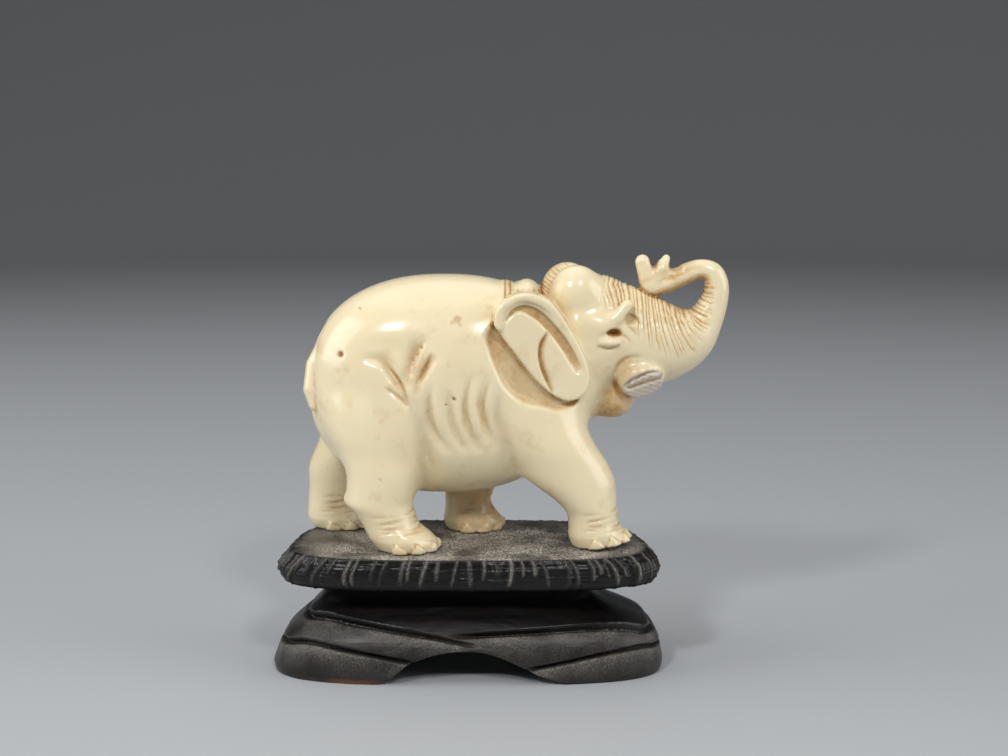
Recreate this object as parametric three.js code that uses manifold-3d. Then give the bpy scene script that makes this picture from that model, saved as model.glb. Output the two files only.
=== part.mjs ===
// A carved elephant with a raised, curled trunk, standing on a carved wooden stand.
// Millimetres, +Z up, +X towards the head. X is measured from the stand's centre and, on the
// elephant, the sideways measure v from its own midplane (the near side is negative).
import * as THREE from "three";
import { mergeVertices } from "three/addons/utils/BufferGeometryUtils.js";
import Module from "manifold-3d";

const wasm = await Module();
wasm.setup();

// Stand: a level is its height, its reach to the left, to the right and to front and back
const PLATE_TOP = 29.4;
const PLATE_LEVELS = [
  [22.1, 44.6, 45.2, 20.6],
  [23.4, 45.8, 46.2, 21.3],
  [25.8, 45.6, 46.2, 21.5],
  [28.2, 43.6, 44.8, 20.9],
  [PLATE_TOP, 42.4, 43.2, 20.1],
];
const BLOCK_LEVELS = [
  [0, 46.4, 46.4, 21.0],
  [1.2, 46.7, 46.8, 21.5],
  [4.5, 45.9, 46.6, 21.5],
  [8.0, 44.2, 45.6, 20.9],
  [11.0, 41.2, 43.2, 19.7],
  [14.0, 38.0, 36.6, 17.2],
  [16.4, 35.6, 31.6, 14.4],
  [23.0, 34.5, 31.0, 13.6],
];
// The ends lean: behind this Y they are drawn in by so much for each millimetre, left and right
const LEAN_FROM = -10;
const PLATE_LEAN = [0.0022, 0.0037];
const BLOCK_LEAN = [0.0007, 0.0011];
const PLAN_POWER = 3.4;
const PLAN_POINTS = 240;
const PLATE_SIDES = 136;
const BLOCK_SIDES = 52;
// Upright notches round the plate's rim, their depth at each of its levels
const RIM_NOTCH = { pitch: 3.1, depths: [0.5, 0.9, 0.9, 0.8, 0.3], drift: 0.45, driftLength: 23 };
// The arch between the two feet, as heights along X
const ARCH = [[-22.6, -1], [-19.4, 0.7], [-16.5, 2.5], [-13.5, 4.9], [-8.4, 6.9], [-2.7, 7.9],
  [3.1, 7.8], [7.7, 6.6], [12.3, 4.6], [16.9, 2.3], [21.5, 0.6], [24.4, -1]];
const ARCH_STEPS = 2;
// Long grooves across the block's front and back, as heights along X
const BLOCK_GROOVES = [
  [[-39.5, 13.2], [-33.5, 14.3], [-27.3, 13.9], [-15.5, 12.4], [-6.2, 11], [2, 9.4]],
  [[-45, 7.2], [-41.5, 8.4], [-36.6, 9.2], [-27, 8], [-17.6, 6.5], [-11.5, 5.3]],
  [[-3.5, 11.4], [12.3, 12.2], [26.2, 12.7], [35.8, 12.3], [41.5, 10.6]],
  [[13.5, 3.9], [21.5, 5.3], [30.8, 7], [40.3, 7.8], [45, 6.6]],
];
const BLOCK_GOUGE = { radius: 1.2, depth: 0.8 };

// Elephant: its midplane in Y, and the whole piece's middle in X
const MIDPLANE = 3;
const MIDDLE_X = 7.78;
const SOLE_GAP = 0.1;
const BODY = { centre: [-5.5, 0, 67], reach: [32.6, 18.2, 26.1], power: 2.3 };
const NECK = { centre: [19, 0, 69], reach: [14.2, 12.8, 15] };
const NAPE = { centre: [13, 0, 85.8], reach: [7.8, 7.6, 5.7] };
const HEAD = { centre: [29.5, 0, 78.5], reach: [11, 10.6, 12.5] };
const DOME = { centre: [25.4, 4.6, 88.7], reach: [6.5, 5.4, 6.9] };
const JAW = { centre: [34.6, 0, 63.4], reach: [5, 5.2, 4.7] };
const TUSK_SHEATH = { centre: [39.2, 6.4, 69.4], reach: [5.4, 4.6, 4.9] };
const TUSK_BREAK = { centre: [42.6, 11.2, 66.6], reach: [4.4, 2.6, 3.2] };
const BROW = { from: [27, 8, 81.5], to: [37.2, 7.6, 87], radii: [3.4, 1.2] };
const EYE = { centre: [34.6, 10, 80.4], reach: [1.9, 1.7, 1.2] };
const EYELID = { centre: [32.4, 9.4, 78], reach: [2.2, 1.3, 0.9] };
// Each leg's rows run up from the sole: height, centre and half width along X, then the same sideways
const LEGS = [
  [[29, -14.2, 7.3, -12, 6.7], [31, -14.6, 7.9, -12, 7.1], [33, -15.9, 7.6, -12, 6.9],
    [35.5, -18, 6.8, -11.8, 6.4], [38, -19.3, 7.1, -11.5, 6.7], [40.5, -20.6, 7.9, -11.2, 7.2],
    [43, -20.2, 8.2, -10.9, 7.6], [47, -19.7, 8.7, -10.4, 8.2], [52, -20.5, 9.6, -9.6, 8.5],
    [56, -21.2, 10.6, -9.2, 8.8], [61, -22, 10.8, -8.6, 8.5], [68, -22.5, 9.5, -7, 7]],
  [[29, 31.4, 7.2, -9, 6.4], [31, 31.4, 7.6, -9, 6.8], [32.6, 30.8, 7, -9, 6.7],
    [35, 29.9, 6.1, -9, 6.3], [37.5, 29.4, 6.1, -9, 6.3], [40, 28.2, 7, -8.9, 6.6],
    [42.3, 26.7, 8.4, -8.8, 6.9], [45, 24.7, 10.1, -8.7, 7.2], [48, 22.5, 11.2, -8.5, 7.6],
    [54, 18.8, 11.2, -8.2, 8.4], [60, 16, 11, -7.6, 8.2], [68, 13.5, 9.5, -6.4, 7]],
  [[29, -32, 7.4, 11, 6.3], [31, -32.3, 7.8, 11, 6.7], [33, -32.8, 7.4, 11, 6.6],
    [36, -33, 7, 11, 6.5], [40.7, -32.5, 7.2, 10.8, 6.9], [45, -31.9, 7.7, 10.4, 7.5],
    [51, -28.6, 8.6, 9.6, 8.4], [56, -26.2, 9.4, 9.2, 8.8], [61, -24.6, 10, 8.6, 8.5],
    [68, -23, 9.5, 7, 7]],
  [[29, 1, 7, 8.7, 6.4], [31.5, 1, 7.5, 8.7, 6.8], [33.5, 0.4, 6.5, 8.7, 6.5],
    [36, -0.2, 5.7, 8.7, 6.1], [38.6, 0, 5.9, 8.7, 6.2], [41, 0.8, 6.3, 8.6, 6.5],
    [44, 2.5, 7, 8.4, 6.9], [48, 5, 8.2, 8.2, 7.5], [54, 9, 9.6, 8, 8.3],
    [60, 11.5, 10, 7.6, 8.2], [68, 13.5, 9.5, 6.4, 7]],
];
// The near front foot's toes are lifted: past this X its sole rises by this slope
const LIFTED_TOE = { from: 26.5, slope: 0.15 };
const TAIL = [[-32.5, 78, 2.4], [-36, 71.6, 2.2], [-37.1, 66.2, 1.9], [-36.7, 62.8, 1.6]];
// The trunk's centreline and radius from root to tip
const TRUNK = [[28.6, 82.6, 9.2], [33, 80.8, 10.9], [36.5, 79.3, 11.2], [41.2, 77.6, 10.9],
  [46.9, 77, 9.1], [52.2, 78.2, 6.7],
  [55.6, 81.2, 4.7], [58.1, 85.7, 3.5], [59, 90, 3], [58, 93.3, 2.6], [55.2, 94.3, 2.3],
  [51.9, 93.3, 2.45], [48.1, 91.7, 2.6], [45, 90.5, 2.5], [43.4, 89.9, 2.3]];
const TRUNK_ROOT = [[30, 83, 10.2], [36, 79.3, 10.4], [42, 77.4, 9.8]];
const TRUNK_FLATNESS = { root: 0.84, from: 0.1, round: 0.5 };
const TRUNK_SIDES = 14;
const TRUNK_SAMPLES = 420;
// Ridges across the trunk's inner side: their pitch is kept at a share of its radius towards the curl,
// and they die out along the trunk and round its sides
const TRUNK_RIDGE = { pitch: 1.8, height: 0.28, keptAt: 0.6, fadeFrom: 0.5, fadeTo: 0.64, smoothPitch: 3,
  sideFrom: -0.5, sideTo: 0.4 };
// The trunk's tip opens into two fingers on a broad base
const FINGER_BASE = { centre: [44.1, 0, 92.3], reach: [2.7, 1.9, 3.1] };
const FINGERS = [
  { from: [43.6, 0, 90.4], to: [41.3, 0, 96.1], radii: [2.4, 1.65] },
  { from: [44.8, 0, 92], to: [46.9, 0, 97], radii: [2.1, 0.75] },
];
// The ear's outline, its outer face and the raised, rolled-over edge along its top
const EAR = [[6.3, 83], [7.2, 87], [12.6, 90.2], [18.8, 88.3], [23.8, 81.5], [27.7, 73.8], [28.2, 67.6],
  [23.6, 64.8], [17.4, 68.4], [10.2, 77.4]];
const EAR_FACE = { stand: 17.1, at: 8, taper: 0.2, depth: 8 };
const EAR_ROLL = { line: [[7.4, 83.4], [8.8, 87], [12.2, 89.2], [16, 88.8], [19.4, 86.2], [22, 83]],
  width: 1.3, height: 0.9 };
const EAR_CHANNEL = { line: [[9.6, 84.2], [13.5, 86.4], [16.6, 85], [19.4, 81.8], [22.4, 77.8], [26, 71.5]],
  width: 1.1, height: -1.1 };
const EAR_FOLD = { line: [[18.6, 81], [16.9, 77.4], [17.4, 72.5], [19.8, 67]], width: 0.9, height: -0.9 };
// Wrinkles and folds of the flanks, as heights along X: every one is a shallow furrow
const FLANK_FURROWS = [
  [[0.8, 70.2], [-0.3, 65.6], [-0.1, 61], [1.2, 57], [2.6, 54.4]],
  [[4.3, 69.1], [3.3, 65.6], [3.6, 62.1], [4.7, 58.6], [6.3, 54.7]],
  [[7.2, 64.5], [7, 61.5], [7.4, 58.2]],
  [[-7.9, 59.8], [-6.8, 57], [-4.5, 54]],
  [[-3.6, 64], [-2.9, 59], [-1.1, 55.1]],
  [[-10.9, 78.4], [-12.3, 75], [-13.1, 71.6]],
  [[-8, 74.6], [-9.4, 72.6], [-10.6, 70.2]],
  [[-22, 74.9], [-19.3, 74.4], [-17, 71.4], [-14.7, 67.9], [-13.4, 64.5]],
];
const FURROW = { width: 1.5, depth: 0.75, clear: 9 };
// Toes: furrows round the front of each foot, at these angles from the way it walks
const TOE_ANGLES = [-70, -35, 0, 35, 70];
const TOE = { height: 3.4, radius: 0.9, depth: 0.7, runOut: 0.1 };

// Skins are drawn on cells of this size inside a box, then thinned to a number of triangles
const BODY_SKIN = { box: [[-42, 58], [-22, 22], [28, 99]], cell: 1.3, triangles: 3160 };
const EAR_SKIN = { box: [[4, 31], [1, 21], [62, 93]], cell: 0.9, triangles: 380 };
const SLIVER = 0.03;
const WELD = 1e-4;
// Thinning takes a share of the edges in each round and turns no face further than this cosine
const THIN_SHARE = 1 / 6;
const LEAST_COSINE = 0.3;
const BALL_SEGMENTS = [10, 8];

// Widths of the rounded valleys where the masses join
const JOIN = { neck: 5, leg: 3.2, legTop: 4, head: 4, dome: 2, root: 3, jaw: 3, sheath: 1.6, crisp: 0.8,
  nape: 1, tail: 1.2, earEdge: 1.2, sole: 0.5 };

const TINY = 1e-6;
const clamp = THREE.MathUtils.clamp;

// Joins two fields with a rounded valley k wide; smoothMax cuts one by another in the same way
function smoothMin(a, b, k) {
  const h = Math.max(k - Math.abs(a - b), 0) / k;
  return Math.min(a, b) - h * h * k / 4;
}

function smoothMax(a, b, k) {
  return -smoothMin(-a, -b, k);
}

// Distance to an egg or, with a power above 2, to a fuller rounded block
function egg(x, v, z, { centre: [cx, cv, cz], reach: [rx, rv, rz], power = 2 }) {
  const [dx, dv, dz] = [Math.abs(x - cx) / rx, Math.abs(v - cv) / rv, Math.abs(z - cz) / rz];
  const size = (dx ** power + dv ** power + dz ** power) ** (1 / power) + TINY;
  const rise = power - 1;
  const slope = Math.hypot((dx / size) ** rise / rx, (dv / size) ** rise / rv, (dz / size) ** rise / rz);
  return (size - 1) / (slope + TINY);
}

// Distance to a rod between two points whose radius changes along it
function rod(x, v, z, from, to, radii) {
  const [ex, ev, ez] = [to[0] - from[0], to[1] - from[1], to[2] - from[2]];
  const [dx, dv, dz] = [x - from[0], v - from[1], z - from[2]];
  const t = clamp((dx * ex + dv * ev + dz * ez) / (ex * ex + ev * ev + ez * ez), 0, 1);
  return Math.hypot(dx - ex * t, dv - ev * t, dz - ez * t) - THREE.MathUtils.lerp(...radii, t);
}

function rodChain(x, v, z, rows) {
  let distance = Infinity;
  for (let i = 1; i < rows.length; i += 1) {
    const [a, b] = [rows[i - 1], rows[i]];
    distance = Math.min(distance, rod(x, v, z, [a[0], 0, a[1]], [b[0], 0, b[1]], [a[2], b[2]]));
  }
  return distance;
}

// A smooth run through rows of numbers, read at a value of their first column
function rowCurve(rows) {
  const values = Float64Array.from(rows.flatMap((row) => row.slice(1)));
  return new THREE.CubicInterpolant(Float64Array.from(rows, (row) => row[0]), values, rows[0].length - 1);
}

const legCurves = LEGS.map(rowCurve);
const LEG_TOP = LEGS[0].at(-1)[0] - 1;

function leg(x, v, z, curve) {
  const [cx, rx, cv, rv] = curve.evaluate(z);
  const near = Math.hypot((x - cx) / rx, (v - cv) / rv) + TINY;
  const slope = Math.hypot((x - cx) / rx ** 2, (v - cv) / rv ** 2) + TINY;
  return smoothMax(near * (near - 1) / slope, z - LEG_TOP, JOIN.legTop);
}

const flat = ([x, z]) => new THREE.Vector2(x, z);

// How near a point of the side view is to a line, as a smooth bump from 0 to 1
function lineBump(x, z, points, width) {
  let nearest = Infinity;
  for (let i = 1; i < points.length; i += 1) {
    const [a, b] = [points[i - 1], points[i]];
    const [ex, ez] = [b.x - a.x, b.y - a.y];
    const t = clamp(((x - a.x) * ex + (z - a.y) * ez) / (ex * ex + ez * ez), 0, 1);
    nearest = Math.min(nearest, Math.hypot(x - a.x - ex * t, z - a.y - ez * t));
  }
  return Math.exp(-((nearest / width) ** 2));
}

const FURROW_POINTS = 12;
const EAR_POINTS = 56;
const smoothLine = (line) => new THREE.SplineCurve(line.map(flat)).getPoints(FURROW_POINTS);
const flankLines = FLANK_FURROWS.map(smoothLine);
const earReliefs = [EAR_ROLL, EAR_CHANNEL, EAR_FOLD].map(({ line, width, height }) => {
  return { line: smoothLine(line), width, height };
});
const earOutline = new THREE.SplineCurve([...EAR, EAR[0]].map(flat)).getPoints(EAR_POINTS).slice(0, -1);

// Signed distance to the ear's outline in the side view
function earEdge(x, z) {
  let nearest = Infinity;
  let inside = false;
  earOutline.forEach((b, i) => {
    const a = earOutline.at(i - 1);
    const [ex, ez] = [b.x - a.x, b.y - a.y];
    const t = clamp(((x - a.x) * ex + (z - a.y) * ez) / (ex * ex + ez * ez), 0, 1);
    nearest = Math.min(nearest, Math.hypot(x - a.x - ex * t, z - a.y - ez * t));
    if ((a.y > z) !== (b.y > z) && x < a.x + ex * (z - a.y) / ez) inside = !inside;
  });
  return inside ? -nearest : nearest;
}

// One ear: its outline carried inwards from its carved outer face
function earField(x, v, z) {
  const edge = earEdge(x, z);
  let face = EAR_FACE.stand - EAR_FACE.taper * (x - EAR_FACE.at);
  for (const { line, width, height } of earReliefs) face += height * lineBump(x, z, line, width);
  return smoothMax(smoothMax(edge, v - face, JOIN.earEdge), face - EAR_FACE.depth - v, JOIN.earEdge);
}

// The elephant without its trunk and ears, as a field that is negative inside
function bodyField(x, v, z) {
  const side = Math.abs(v);
  let field = egg(x, v, z, BODY);
  field = smoothMin(field, egg(x, v, z, NECK), JOIN.neck);
  for (const curve of legCurves) field = smoothMin(field, leg(x, v, z, curve), JOIN.leg);
  if (side > FURROW.clear) {
    for (const line of flankLines) field += FURROW.depth * lineBump(x, z, line, FURROW.width);
  }
  let head = egg(x, v, z, HEAD);
  head = smoothMin(head, egg(x, side, z, DOME), JOIN.dome);
  head = smoothMin(head, rodChain(x, v / TRUNK_FLATNESS.root, z, TRUNK_ROOT), JOIN.root);
  head = smoothMin(head, egg(x, v, z, JAW), JOIN.jaw);
  head = smoothMin(head, egg(x, side, z, TUSK_SHEATH), JOIN.sheath);
  head = smoothMax(head, -egg(x, side, z, TUSK_BREAK), JOIN.crisp);
  head = smoothMin(head, rod(x, side, z, BROW.from, BROW.to, BROW.radii), JOIN.dome);
  head = smoothMax(head, -egg(x, side, z, EYE), JOIN.crisp);
  head = smoothMin(head, egg(x, side, z, EYELID), JOIN.crisp);
  field = smoothMin(field, head, JOIN.head);
  field = smoothMin(field, egg(x, v, z, NAPE), JOIN.nape);
  field = smoothMin(field, rodChain(x, v, z, TAIL), JOIN.tail);
  const lift = v < 0 ? Math.max(x - LIFTED_TOE.from, 0) * LIFTED_TOE.slope : 0;
  return smoothMax(field, PLATE_TOP + SOLE_GAP + lift - z, JOIN.sole);
}

// A closed skin over a field: one point in each cell that the surface crosses, set on the surface
function skin(field, { box, cell }) {
  const lines = box.map(([low, high]) => {
    const count = Math.round((high - low) / cell);
    return Array.from({ length: count + 1 }, (_, i) => low + i * cell);
  });
  const [nx, ny, nz] = lines.map((line) => line.length);
  const at = (i, j, k) => (i * ny + j) * nz + k;
  const values = new Float64Array(nx * ny * nz);
  for (let i = 0; i < nx; i += 1) {
    for (let j = 0; j < ny; j += 1) {
      for (let k = 0; k < nz; k += 1) values[at(i, j, k)] = field(lines[0][i], lines[1][j], lines[2][k]);
    }
  }
  const strides = [ny * nz, nz, 1];
  fillNarrowGaps(values, [nx, ny, nz], strides);
  const corners = [0, 1, 2, 3, 4, 5, 6, 7].map((c) => [c >> 2 & 1, c >> 1 & 1, c & 1]);
  const edges = corners.flatMap((a) => [0, 1, 2].filter((axis) => !a[axis]).map((axis) => [a, axis]));
  const index = new Int32Array(values.length).fill(-1);
  const positions = [];
  const triangles = [];
  for (let i = 0; i < nx - 1; i += 1) {
    for (let j = 0; j < ny - 1; j += 1) {
      for (let k = 0; k < nz - 1; k += 1) {
        const cellAt = [i, j, k];
        const sum = new THREE.Vector3();
        let crossings = 0;
        for (const [corner, axis] of edges) {
          const place = cellAt.map((c, d) => c + corner[d]);
          const a = values[at(...place)];
          const b = values[at(...place) + strides[axis]];
          if ((a < 0) === (b < 0)) continue;
          const point = place.map((c, d) => lines[d][c]);
          point[axis] += cell * a / (a - b);
          sum.add(new THREE.Vector3(...point));
          crossings += 1;
        }
        if (!crossings) continue;
        index[at(i, j, k)] = positions.length / 3;
        positions.push(...ontoSurface(field, sum.divideScalar(crossings), cell).toArray());
        for (let axis = 0; axis < 3; axis += 1) {
          const [u, w] = [(axis + 1) % 3, (axis + 2) % 3];
          const here = at(i, j, k);
          const inside = values[here] < 0;
          if (inside === values[here + strides[axis]] < 0) continue;
          const quad = [here - strides[u] - strides[w], here - strides[w], here, here - strides[u]];
          const [a, b, c, d] = quad.map((id) => index[id]);
          triangles.push(...(inside ? [a, b, c, a, c, d] : [a, c, b, a, d, c]));
        }
      }
    }
  }
  const geometry = new THREE.BufferGeometry();
  geometry.setAttribute("position", new THREE.Float32BufferAttribute(positions, 3));
  geometry.setIndex(triangles);
  return geometry;
}

// Fills what is narrower than a cell, where a face's corners are in and out by turns, so that a skin
// never touches itself
function fillNarrowGaps(values, counts, strides) {
  let again = true;
  while (again) {
    again = false;
    for (let here = 0; here < values.length; here += 1) {
      const place = strides.map((stride, axis) => Math.floor(here / stride) % counts[axis]);
      for (let axis = 0; axis < 3; axis += 1) {
        const [u, w] = [(axis + 1) % 3, (axis + 2) % 3];
        if (place[u] === counts[u] - 1 || place[w] === counts[w] - 1) continue;
        const ring = [here, here + strides[u], here + strides[u] + strides[w], here + strides[w]];
        const [a, b, c, d] = ring.map((id) => values[id] < 0);
        if (a !== c || b !== d || a === b) continue;
        const open = a ? [ring[1], ring[3]] : [ring[0], ring[2]];
        values[values[open[0]] < values[open[1]] ? open[0] : open[1]] = -TINY;
        again = true;
      }
    }
  }
}

// Moves a point onto the surface along the field's slope, a share of a cell at a time
const SLOPE_STEP = 0.05;
const LEAST_SLOPE = 0.3;
const MOVES = 3;

function ontoSurface(field, point, reach) {
  for (let step = 0; step < MOVES; step += 1) {
    const value = field(point.x, point.y, point.z);
    const slope = new THREE.Vector3(
      field(point.x + SLOPE_STEP, point.y, point.z) - value,
      field(point.x, point.y + SLOPE_STEP, point.z) - value,
      field(point.x, point.y, point.z + SLOPE_STEP) - value,
    ).divideScalar(SLOPE_STEP);
    const move = clamp(value / Math.max(slope.length(), LEAST_SLOPE), -reach / MOVES, reach / MOVES);
    point.addScaledVector(slope.normalize(), -move);
  }
  return point;
}

// A closed body through rings of points that all have the same count
function loft(rings) {
  const sides = rings[0].length;
  const points = rings.flat();
  const middle = (ring) => ring.reduce((sum, p) => sum.add(p), new THREE.Vector3()).divideScalar(sides);
  const first = points.push(middle(rings[0])) - 1;
  const last = points.push(middle(rings.at(-1))) - 1;
  const triangles = [];
  for (let side = 0; side < sides; side += 1) {
    const next = (side + 1) % sides;
    for (let ring = 1; ring < rings.length; ring += 1) {
      const [low, high] = [(ring - 1) * sides, ring * sides];
      triangles.push(low + side, low + next, high + next, low + side, high + next, high + side);
    }
    triangles.push(first, next, side);
    triangles.push(last, points.length - 2 - sides + side, points.length - 2 - sides + next);
  }
  const geometry = new THREE.BufferGeometry().setFromPoints(points);
  return geometry.setIndex(triangles);
}

function solid(geometry) {
  const bare = geometry.clone();
  for (const name of ["normal", "uv"]) bare.deleteAttribute(name);
  const merged = mergeVertices(bare, WELD);
  return new wasm.Manifold(new wasm.Mesh({
    numProp: 3,
    vertProperties: Float32Array.from(merged.attributes.position.array),
    triVerts: Uint32Array.from(merged.index.array),
  }));
}

// Thins a closed skin to a number of triangles, taking out first the edges that bend it least
function thin(geometry, target) {
  const position = geometry.attributes.position;
  const pointAt = (_, i) => new THREE.Vector3().fromBufferAttribute(position, i);
  const points = Array.from({ length: position.count }, pointAt);
  const index = geometry.index.array;
  let faces = Array.from({ length: index.length / 3 }, (_, i) => [...index.slice(3 * i, 3 * i + 3)]);
  const planeOf = ([a, b, c]) => new THREE.Plane().setFromCoplanarPoints(points[a], points[b], points[c]);
  const areaOf = ([a, b, c]) => new THREE.Triangle(points[a], points[b], points[c]).getArea();
  const costs = points.map(() => new Float64Array(10));
  for (const face of faces) {
    const { normal: n, constant: d } = planeOf(face);
    const [x, y, z] = n.toArray();
    const terms = [x * x, x * y, x * z, x * d, y * y, y * z, y * d, z * z, z * d, d * d];
    for (const corner of face) terms.forEach((term, i) => { costs[corner][i] += term * areaOf(face); });
  }
  const costAt = (q, { x, y, z }) => q[0] * x * x + q[4] * y * y + q[7] * z * z + q[9]
    + 2 * (q[1] * x * y + q[2] * x * z + q[3] * x + q[5] * y * z + q[6] * y + q[8] * z);
  const bestPlace = (a, b) => {
    const q = costs[a].map((term, i) => term + costs[b][i]);
    const middle = points[a].clone().lerp(points[b], 0.5);
    const system = new THREE.Matrix3(q[0], q[1], q[2], q[1], q[4], q[5], q[2], q[5], q[7]);
    const places = [middle, points[a], points[b]];
    if (Math.abs(system.determinant()) > TINY) {
      const lowest = new THREE.Vector3(-q[3], -q[6], -q[8]).applyMatrix3(system.invert());
      if (lowest.distanceTo(middle) < points[a].distanceTo(points[b])) places.push(lowest);
    }
    const ranked = places.map((place) => ({ a, b, q, place: place.clone(), cost: costAt(q, place) }));
    return ranked.reduce((best, other) => (other.cost < best.cost ? other : best));
  };
  while (faces.length > target) {
    const around = points.map(() => []);
    const beside = points.map(() => new Set());
    faces.forEach((face) => face.forEach((corner, i) => {
      around[corner].push(face);
      beside[corner].add(face[(i + 1) % 3]).add(face[(i + 2) % 3]);
    }));
    const edges = beside.flatMap((others, a) => {
      return [...others].filter((b) => b > a).map((b) => bestPlace(a, b));
    });
    edges.sort((first, second) => first.cost - second.cost);
    const settled = new Set();
    const moved = points.map((_, i) => i);
    let excess = faces.length - target;
    for (const { a, b, q, place } of edges.slice(0, Math.ceil(edges.length * THIN_SHARE))) {
      if (excess <= 0) break;
      if (settled.has(a) || settled.has(b)) continue;
      if ([...beside[a]].filter((other) => beside[b].has(other)).length !== 2) continue;
      const turns = [...around[a], ...around[b]].some((face) => {
        if (face.includes(a) && face.includes(b)) return false;
        const corners = face.map((corner) => (corner === a || corner === b ? place : points[corner]));
        const normal = new THREE.Triangle(...corners).getNormal(new THREE.Vector3());
        return normal.dot(planeOf(face).normal) < LEAST_COSINE;
      });
      if (turns) continue;
      points[a] = place;
      costs[a] = q;
      moved[b] = a;
      excess -= 2;
      for (const other of [a, b, ...beside[a], ...beside[b]]) settled.add(other);
    }
    faces = faces.map((face) => face.map((corner) => moved[corner]));
    faces = faces.filter((face) => new Set(face).size === 3);
  }
  const thinned = new THREE.BufferGeometry().setFromPoints(faces.flat().map((corner) => points[corner]));
  return mergeVertices(thinned, TINY);
}

// A square bar along a path, on its edge: what a groove is cut with
function gouge(points, radius) {
  const corners = [[radius, 0], [0, radius], [-radius, 0], [0, -radius]].map(flat);
  const extrudePath = new THREE.CatmullRomCurve3(points);
  const options = { steps: points.length, bevelEnabled: false, extrudePath };
  return solid(new THREE.ExtrudeGeometry(new THREE.Shape(corners), options));
}

// A tapering stub with rounded ends
function stub({ from, to, radii }) {
  const [a, b] = [new THREE.Vector3(...from), new THREE.Vector3(...to)];
  const ball = (at, radius) => solid(new THREE.SphereGeometry(radius, ...BALL_SEGMENTS)).translate(at.toArray());
  return wasm.Manifold.hull([ball(a, radii[0]), ball(b, radii[1])]);
}

// The trunk: rings along its curve, alternately raised and sunk on the side that the curl turns towards
function trunk() {
  const rows = TRUNK.map(([x, z, radius]) => new THREE.Vector3(x, radius, z));
  const spine = new THREE.CatmullRomCurve3(rows, false, "catmullrom").getPoints(TRUNK_SAMPLES);
  const inward = spine.map((_, i) => {
    const [a, b] = [spine[Math.max(i - 1, 0)], spine[Math.min(i + 1, TRUNK_SAMPLES)]];
    return new THREE.Vector3(a.z - b.z, 0, b.x - a.x).normalize();
  });
  const rings = [];
  let travelled = Infinity;
  spine.forEach(({ x, y: radius, z }, i) => {
    const along = i / TRUNK_SAMPLES;
    const carved = 1 - THREE.MathUtils.smoothstep(along, TRUNK_RIDGE.fadeFrom, TRUNK_RIDGE.fadeTo);
    if (i > 0) {
      const step = inward[i].clone().multiplyScalar(radius * TRUNK_RIDGE.keptAt).add(new THREE.Vector3(x, 0, z));
      const from = inward[i - 1].clone().multiplyScalar(spine[i - 1].y * TRUNK_RIDGE.keptAt);
      travelled += step.distanceTo(from.add(new THREE.Vector3(spine[i - 1].x, 0, spine[i - 1].z)));
    }
    const gap = carved > 0 ? TRUNK_RIDGE.pitch / 2 : TRUNK_RIDGE.smoothPitch / 2;
    if (travelled < gap) return;
    travelled = 0;
    const raised = rings.length % 2 ? TRUNK_RIDGE.height : -TRUNK_RIDGE.height;
    const flatness = THREE.MathUtils.lerp(TRUNK_FLATNESS.root, 1,
      THREE.MathUtils.smoothstep(along, TRUNK_FLATNESS.from, TRUNK_FLATNESS.round));
    rings.push(Array.from({ length: TRUNK_SIDES }, (_, side) => {
      const angle = 2 * Math.PI * side / TRUNK_SIDES;
      const inner = THREE.MathUtils.smoothstep(Math.cos(angle), TRUNK_RIDGE.sideFrom, TRUNK_RIDGE.sideTo);
      const reach = radius + raised * carved * inner;
      const point = new THREE.Vector3(x, -reach * flatness * Math.sin(angle), z);
      return point.addScaledVector(inward[i], reach * Math.cos(angle));
    }));
  });
  return solid(loft(rings));
}

// Toes: a row of furrows round the front of a foot, deepest at the sole
function toeCuts(rows, curve) {
  const lift = rows[0][3] < 0 && rows[0][1] > 0 ? LIFTED_TOE.slope * (rows[0][1] - LIFTED_TOE.from) : 0;
  const sole = PLATE_TOP + SOLE_GAP + lift;
  return TOE_ANGLES.map((degrees) => {
    const angle = THREE.MathUtils.degToRad(degrees);
    const points = [-1, 0, 0.5, 1].map((rise) => {
      const z = sole + rise * TOE.height;
      const [cx, rx, cv, rv] = curve.evaluate(z);
      const out = TOE.radius - TOE.depth * (1 - Math.max(rise, 0)) + TOE.runOut;
      return new THREE.Vector3(cx + (rx + out) * Math.cos(angle), cv + (rv + out) * Math.sin(angle), z);
    });
    return gouge(points, TOE.radius);
  });
}

function elephant() {
  const earPiece = solid(thin(skin(earField, EAR_SKIN), EAR_SKIN.triangles));
  const parts = [
    solid(thin(skin(bodyField, BODY_SKIN), BODY_SKIN.triangles)),
    earPiece,
    earPiece.mirror([0, 1, 0]),
    trunk(),
    solid(new THREE.SphereGeometry(1, ...BALL_SEGMENTS)).scale(FINGER_BASE.reach).translate(FINGER_BASE.centre),
    ...FINGERS.map(stub),
  ];
  const cuts = LEGS.flatMap((rows, i) => toeCuts(rows, legCurves[i]));
  const whole = wasm.Manifold.union(parts).subtract(wasm.Manifold.union(cuts));
  return whole.simplify(SLIVER).translate([0, MIDPLANE, 0]);
}

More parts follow.
